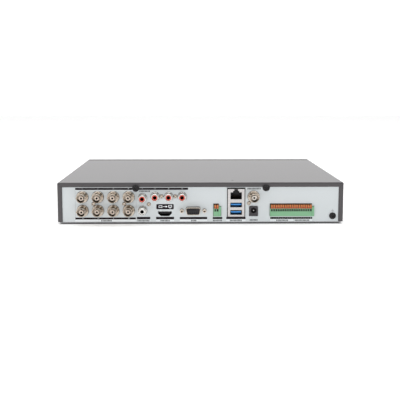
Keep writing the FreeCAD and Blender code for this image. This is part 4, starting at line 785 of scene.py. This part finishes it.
def build_usb_springs(shape):
    """Pressed fingers in the roof and floor of each USB opening."""
    for name in ("usb_upper", "usb_lower"):
        at = MOUNTS[name]
        floor = at.z - USB_HEIGHT / 2
        roof = at.z + USB_HEIGHT / 2 - SPRING_THICK
        for offset in SPRING_PLACES:
            x = at.x + offset
            for z, bulge in ((floor, 0.5), (roof, -0.4)):
                path = [(at.y - 0.25, z), (at.y - 1.8, z + bulge), (at.y - 6.0, z)]
                add_strip(shape, x - SPRING_WIDTH / 2, x + SPRING_WIDTH / 2, path, SPRING_THICK)


def build_usb_pads(shape):
    """Four gold strips under each blue tongue."""
    at = MOUNTS["usb_lower"]
    for z in (TONGUE_LOW, TONGUE_LOW + USB_PITCH):
        for offset in PAD_PLACES:
            x = at.x + offset
            add_block(shape, x - PAD_WIDTH / 2, x + PAD_WIDTH / 2, at.y - 9.0, at.y - 2.0, z - PAD_THICK, z)


def build_tongue_plates(shape):
    """Painted shade: a dark plate on top of each blue tongue, for the shadow in the narrow opening above
    it.
    """
    at = MOUNTS["usb_lower"]
    for z in (TONGUE_LOW + TONGUE_THICK, TONGUE_LOW + TONGUE_THICK + USB_PITCH):
        add_block(shape, at.x - TONGUE_SHADE_WIDTH / 2, at.x + TONGUE_SHADE_WIDTH / 2, at.y - 11.0, at.y - 1.05,
                  z, z + TONGUE_SHADE_THICK)


def build_clamps(shape):
    """Painted shade: a near-black block behind the mouth of each wire hole, standing for the dark inside
    it, and a thin strip of painted shadow along its lower edge.
    """
    face = MOUNTS["alarm_terminals"].y
    z = MOUNTS["alarm_terminals"].z
    for name in LEVERS:
        x = middle_x(name)
        add_block(shape, x - HOLE_SHADE_WIDTH / 2, x + HOLE_SHADE_WIDTH / 2, face - 6.0, face - 0.05,
                  z - HOLE_SHADE_HEIGHT / 2, z + HOLE_SHADE_HEIGHT / 2)
        add_block(shape, x - SHADOW_STRIP_WIDTH / 2, x + SHADOW_STRIP_WIDTH / 2, face + 0.01, face + 0.05,
                  z - SHADOW_STRIP_DROP, z - 1.0)


def d_outline(grow):
    """The monitor socket's D shape, grown outwards by that much: points in a plane of constant Y."""
    middle = MOUNTS["monitor_socket"]
    half = D_WIDTH / 2 + grow
    rise = D_HEIGHT / 2 + grow
    corners = [Vector((-half, 0, rise)), Vector((half, 0, rise)), Vector((half - D_SLANT, 0, -rise)),
               Vector((D_SLANT - half, 0, -rise))]
    points = []
    for before, corner, after in zip(corners[-1:] + corners[:-1], corners, corners[1:] + corners[:1]):
        back = (before - corner).normalized()
        onward = (after - corner).normalized()
        half_angle = back.angle(onward) / 2
        centre = corner + (back + onward).normalized() * (D_CORNER + grow) / math.sin(half_angle)
        reach = (D_CORNER + grow) / math.tan(half_angle)
        start = corner + back * reach - centre
        end = corner + onward * reach - centre
        for step in range(D_STEPS + 1):
            arm = start.slerp(end, step / D_STEPS)
            points.append((middle.x + centre.x + arm.x, middle.z + centre.z + arm.z))
    return points


def add_d_ring(shape, section, start):
    """Ring that follows the D shape, from a closed section of (grow, y) points, with y from start."""
    rows = [[shape.verts.new((x, start + y, z)) for x, z in d_outline(grow)] for grow, y in section]
    for this, after in zip(rows, rows[1:] + rows[:1]):
        for i in range(len(this)):
            j = (i + 1) % len(this)
            shape.faces.new((this[i], this[j], after[j], after[i]))
    bmesh.ops.recalc_face_normals(shape, faces=shape.faces)


def build_d_collar(shape):
    """Rolled skirt of the shell, standing out of the film round the D-shaped rim."""
    add_d_ring(shape, D_COLLAR, FILM_Y)


def build_d_lip(shape):
    """Rim's front edge, rolled inwards over the moulding."""
    add_d_ring(shape, D_LIP, LIP_Y + D_REACH)


def build_gaskets(shape):
    """Painted shade: near-black pieces in the gaps of the panel, over the terminals' levers and round the
    network tower.
    """
    for kind in ("serial", "alarm"):
        add_lever_foam(shape, kind)
    add_tower_foam(shape)


def add_lever_foam(shape, kind):
    """Strip of painted shade above one terminal, as long as its row of levers."""
    levers = [box_mm(name) for name in LEVERS if name.startswith(kind)]
    left = min(low_corner.x for low_corner, high_corner in levers)
    right = max(high_corner.x for low_corner, high_corner in levers)
    top = box_mm(kind + "_terminal_body")[1].z
    add_block(shape, left - 0.5, right + 1.0, FILM_Y - GAP_SHADE_DEPTH, FILM_Y - GAP, top + GAP, top + 0.84)


def add_tower_foam(shape):
    """Painted shade above the tower's can and at both its sides, each strip with a thin lip over the can's
    rim.
    """
    low_corner, high_corner = box_mm("lan_usb_shield")
    back = FILM_Y - GAP_SHADE_DEPTH
    rim = high_corner.y + GAP
    front = rim + GAP_SHADE_LIP
    low = MOUNTS["usb_lower"].z - 4.6
    top = high_corner.z
    left = low_corner.x - 0.4
    right = high_corner.x + 0.4
    add_block(shape, left, right, back, front, top + GAP, top + 0.94)
    add_block(shape, left, right, rim, front, top - GAP_SHADE_OVERLAP, top + GAP)
    for edge, side in ((low_corner.x, -1), (high_corner.x, 1)):
        near, far = sorted((edge + side * GAP, edge + side * 0.44))
        add_block(shape, near, far, back, front, low, top)
        near, far = sorted((edge - side * 0.35, edge + side * GAP))
        add_block(shape, near, far, rim, front, low, top - GAP_SHADE_OVERLAP)


def build_front_lights(shape):
    """Three light windows printed on the smoked pane."""
    low_corner, high_corner = box_mm("front_window")
    face = low_corner.y
    z = (low_corner.z + high_corner.z) / 2
    for number in range(LIGHTS):
        x = high_corner.x - LIGHT_INSET - number * LIGHT_PITCH
        add_block(shape, x - LIGHT_WIDTH / 2, x + LIGHT_WIDTH / 2, face - 0.05, face - 0.01,
                  z - LIGHT_HEIGHT / 2, z + LIGHT_HEIGHT / 2)


def make_small_pieces():
    """Wires, springs, contact strips, painted shade on the tongues, in the wire holes and in the panel's
    gaps, lights and the monitor socket's rolled edges.
    """
    wires = new_piece("network_wires", mesh_from(build_network_wires, "network_wires"),
                      MATERIALS["contact_gold"])
    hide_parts("contact_pins")
    for name, build, material, slot in (
        ("usb_springs", build_usb_springs, MATERIALS["plated_steel"], "plated_steel"),
        ("usb_pads", build_usb_pads, MATERIALS["contact_gold"], "contact_gold"),
        ("usb_tongue_shade", build_tongue_plates, DARK_STEEL, "plated_steel"),
        ("terminal_hole_shade", build_clamps, SHADE_BLACK, "plated_steel"),
        ("panel_gap_shade", build_gaskets, SHADE_BLACK, "foot_rubber"),
        ("front_lights", build_front_lights, LIGHT_GREEN, "smoked_window"),
    ):
        new_piece(name, mesh_from(build, name), material)
    for name, build in (("monitor_collar", build_d_collar), ("monitor_lip", build_d_lip)):
        soften(new_piece(name, mesh_from(build, name), MATERIALS["socket_nickel"]), 0.05)


# ---------------------------------------------------------------- print on the film

# Bars and boxes are (u0, u1, z0, z1), with u to the right as one faces the panel. A bottom bar is
# (u0, u1, top), and a word is (middle, height, letters).
BAR_LOW = 5.25
STRIP_LOW = 2.75
TOP_BAR = (-138.5, -14.0, 38.25, 40.6)
TOP_STRIP = (-138.5, -71.9, 36.9, 38.25)
BOTTOM_BARS = [(-139.0, -71.9, 7.4), (-70.8, -56.0, 8.0), (-49.6, -29.6, 8.0), (-23.3, 7.1, 7.8),
               (13.3, 24.0, 7.7), (28.3, 49.8, 7.7), (77.3, 124.0, 7.6)]
WORDS = [(-104.6, 3.8, 8), (-63.6, 3.8, 9), (-39.6, 3.8, 7), (-7.8, 3.8, 4), (18.6, 3.8, 7), (38.9, 3.8, 9),
         (58.8, 4.2, 6), (90.6, 3.8, 9), (112.6, 3.8, 11), (59.0, 39.4, 10), (-62.0, 36.8, 8)]
LETTER_PITCH = 1.5
DASH_WIDTH = 0.96
DASH_HEIGHT = 1.7
UPRIGHTS = (-138.6, -71.5)                  # thin lines on both sides of the video inputs
LINE_WIDTH = 0.24
DIVIDER = (103.2, 103.4, STRIP_LOW, BAR_LOW)
EARTH_HIGH = 14.9                           # foot of the earth sign's stem
EARTH_ROWS = (1.4, 0.9, 0.4)                # half-widths of its three rungs
BADGE = (-49.2, -29.9, 16.5, 22.4)
BADGE_CORNER = 1.1
SIGN_LINE = 0.55
DIGIT = 1.9
SMALL_DIGIT = 1.3


def plate(shape, u0, u1, z0, z1, layer):
    """Printed rectangle, as high off the film as that many layers of ink."""
    add_block(shape, -u1, -u0, FILM_Y, FILM_Y + INK * layer, z0, z1)


def print_bars(shape):
    """Black bars above and below the sockets, which carry the numbers."""
    plate(shape, *TOP_BAR, 2)
    for u0, u1, high in BOTTOM_BARS:
        plate(shape, u0, u1, BAR_LOW, high, 2)


def print_strips(shape):
    """Pale strips under the bars, which carry most of the words."""
    for u0, u1, _ in BOTTOM_BARS:
        plate(shape, u0, u1, STRIP_LOW, BAR_LOW, 1)
    plate(shape, *TOP_STRIP, 1)


def print_words(shape):
    """Rows of plain dashes where the original has words."""
    for middle, height, letters in WORDS:
        for letter in range(letters):
            u = middle + (letter - (letters - 1) / 2) * LETTER_PITCH
            plate(shape, u - DASH_WIDTH / 2, u + DASH_WIDTH / 2,
                  height - DASH_HEIGHT / 2, height + DASH_HEIGHT / 2, 2)


def print_lines(shape):
    """Thin lines beside the video inputs and across the last strip, and the earth sign over its screw."""
    for u in UPRIGHTS:
        plate(shape, u - LINE_WIDTH / 2, u + LINE_WIDTH / 2, BOTTOM_BARS[0][2], TOP_BAR[2], 1)
    plate(shape, *DIVIDER, 2)
    earth = -MOUNTS["ground_screw"].x
    plate(shape, earth - 0.2, earth + 0.2, EARTH_HIGH, EARTH_HIGH + 1.4, 1)
    for row, half in enumerate(EARTH_ROWS):
        top = EARTH_HIGH - row * 0.65
        plate(shape, earth - half, earth + half, top - 0.4, top, 1)


def print_badge(shape):
    """Black ground of the badge over the digital video port."""
    add_outline(shape, [(-u, z) for u, z in rounded_outline(*BADGE, BADGE_CORNER)][::-1],
                FILM_Y, FILM_Y + INK * 2)


def print_frame(shape, u0, u1, z0, z1):
    """Outline of a box on the badge."""
    plate(shape, u0, u1, z0, z0 + SIGN_LINE, 3)
    plate(shape, u0, u1, z1 - SIGN_LINE, z1, 3)
    plate(shape, u0, u0 + SIGN_LINE, z0 + SIGN_LINE, z1 - SIGN_LINE, 3)
    plate(shape, u1 - SIGN_LINE, u1, z0 + SIGN_LINE, z1 - SIGN_LINE, 3)


def print_badge_sign(shape):
    """Plain picture: a box, an arrow and a screen on its foot."""
    print_frame(shape, -46.6, -42.6, 18.2, 20.8)
    plate(shape, -41.6, -38.8, 19.25, 19.8, 3)
    add_outline(shape, [(38.8, 18.3), (38.8, 20.75), (36.9, 19.52)], FILM_Y, FILM_Y + INK * 3)
    print_frame(shape, -36.0, -31.9, 18.6, 21.2)
    plate(shape, -35.0, -32.9, 17.7, 18.2, 3)


def digit_mesh(text, size):
    """Solid digits of one printed layer's thickness, centred on the origin and facing +Z."""
    curve = bpy.data.curves.new("digits", "FONT")
    curve.body = text
    curve.size = size
    curve.align_x = "CENTER"
    curve.align_y = "CENTER"
    curve.extrude = INK / 2
    holder = bpy.data.objects.new("digits", curve)
    mesh = bpy.data.meshes.new_from_object(holder)
    bpy.data.objects.remove(holder)
    bpy.data.curves.remove(curve)
    return mesh


def print_numbers(shape):
    """Channel numbers on the bars."""
    faces_back = Matrix(((-1, 0, 0, 0), (0, 0, 1, 0), (0, 1, 0, 0), (0, 0, 0, 1)))
    top = (TOP_BAR[2] + TOP_BAR[3]) / 2
    low = (BAR_LOW + BOTTOM_BARS[0][2]) / 2
    marks = []
    for number in range(1, 9):
        at = MOUNTS["video_in_%d" % number]
        marks.append((str(number), at.x, top if number < 5 else low, DIGIT))
    for number in range(1, 5):
        marks.append((str(number), MOUNTS["audio_in_%d" % number].x, top, DIGIT))
    for number, name in enumerate(name for name in LEVERS if name.startswith("alarm")):
        marks.append((str(number + 1), middle_x(name), low, SMALL_DIGIT))
    for text, x, z, size in marks:
        mesh = digit_mesh(text, size)
        mesh.transform(Matrix.Translation((x, FILM_Y + INK * 2.5, z)) @ faces_back)
        shape.from_mesh(mesh)
        bpy.data.meshes.remove(mesh)


def make_print():
    """One piece for each kind of printing on the film."""
    for name, build, ink in (
        ("print_strips", print_strips, INK_PALE),
        ("print_bars", print_bars, INK_BLACK),
        ("print_words", print_words, INK_GREY),
        ("print_lines", print_lines, INK_LINE),
        ("print_badge", print_badge, INK_BLACK),
        ("print_badge_sign", print_badge_sign, INK_WHITE),
        ("print_numbers", print_numbers, INK_WHITE),
    ):
        new_piece(name, mesh_from(build, name), ink)


# ---------------------------------------------------------------- the scene

make_camera()
make_world()
make_stage()
dress_cad_nodes()
make_video_sockets()
make_audio_sockets()
make_jack_pin()
make_small_pieces()
make_print()
bpy.context.scene.view_settings.view_transform = "Standard"
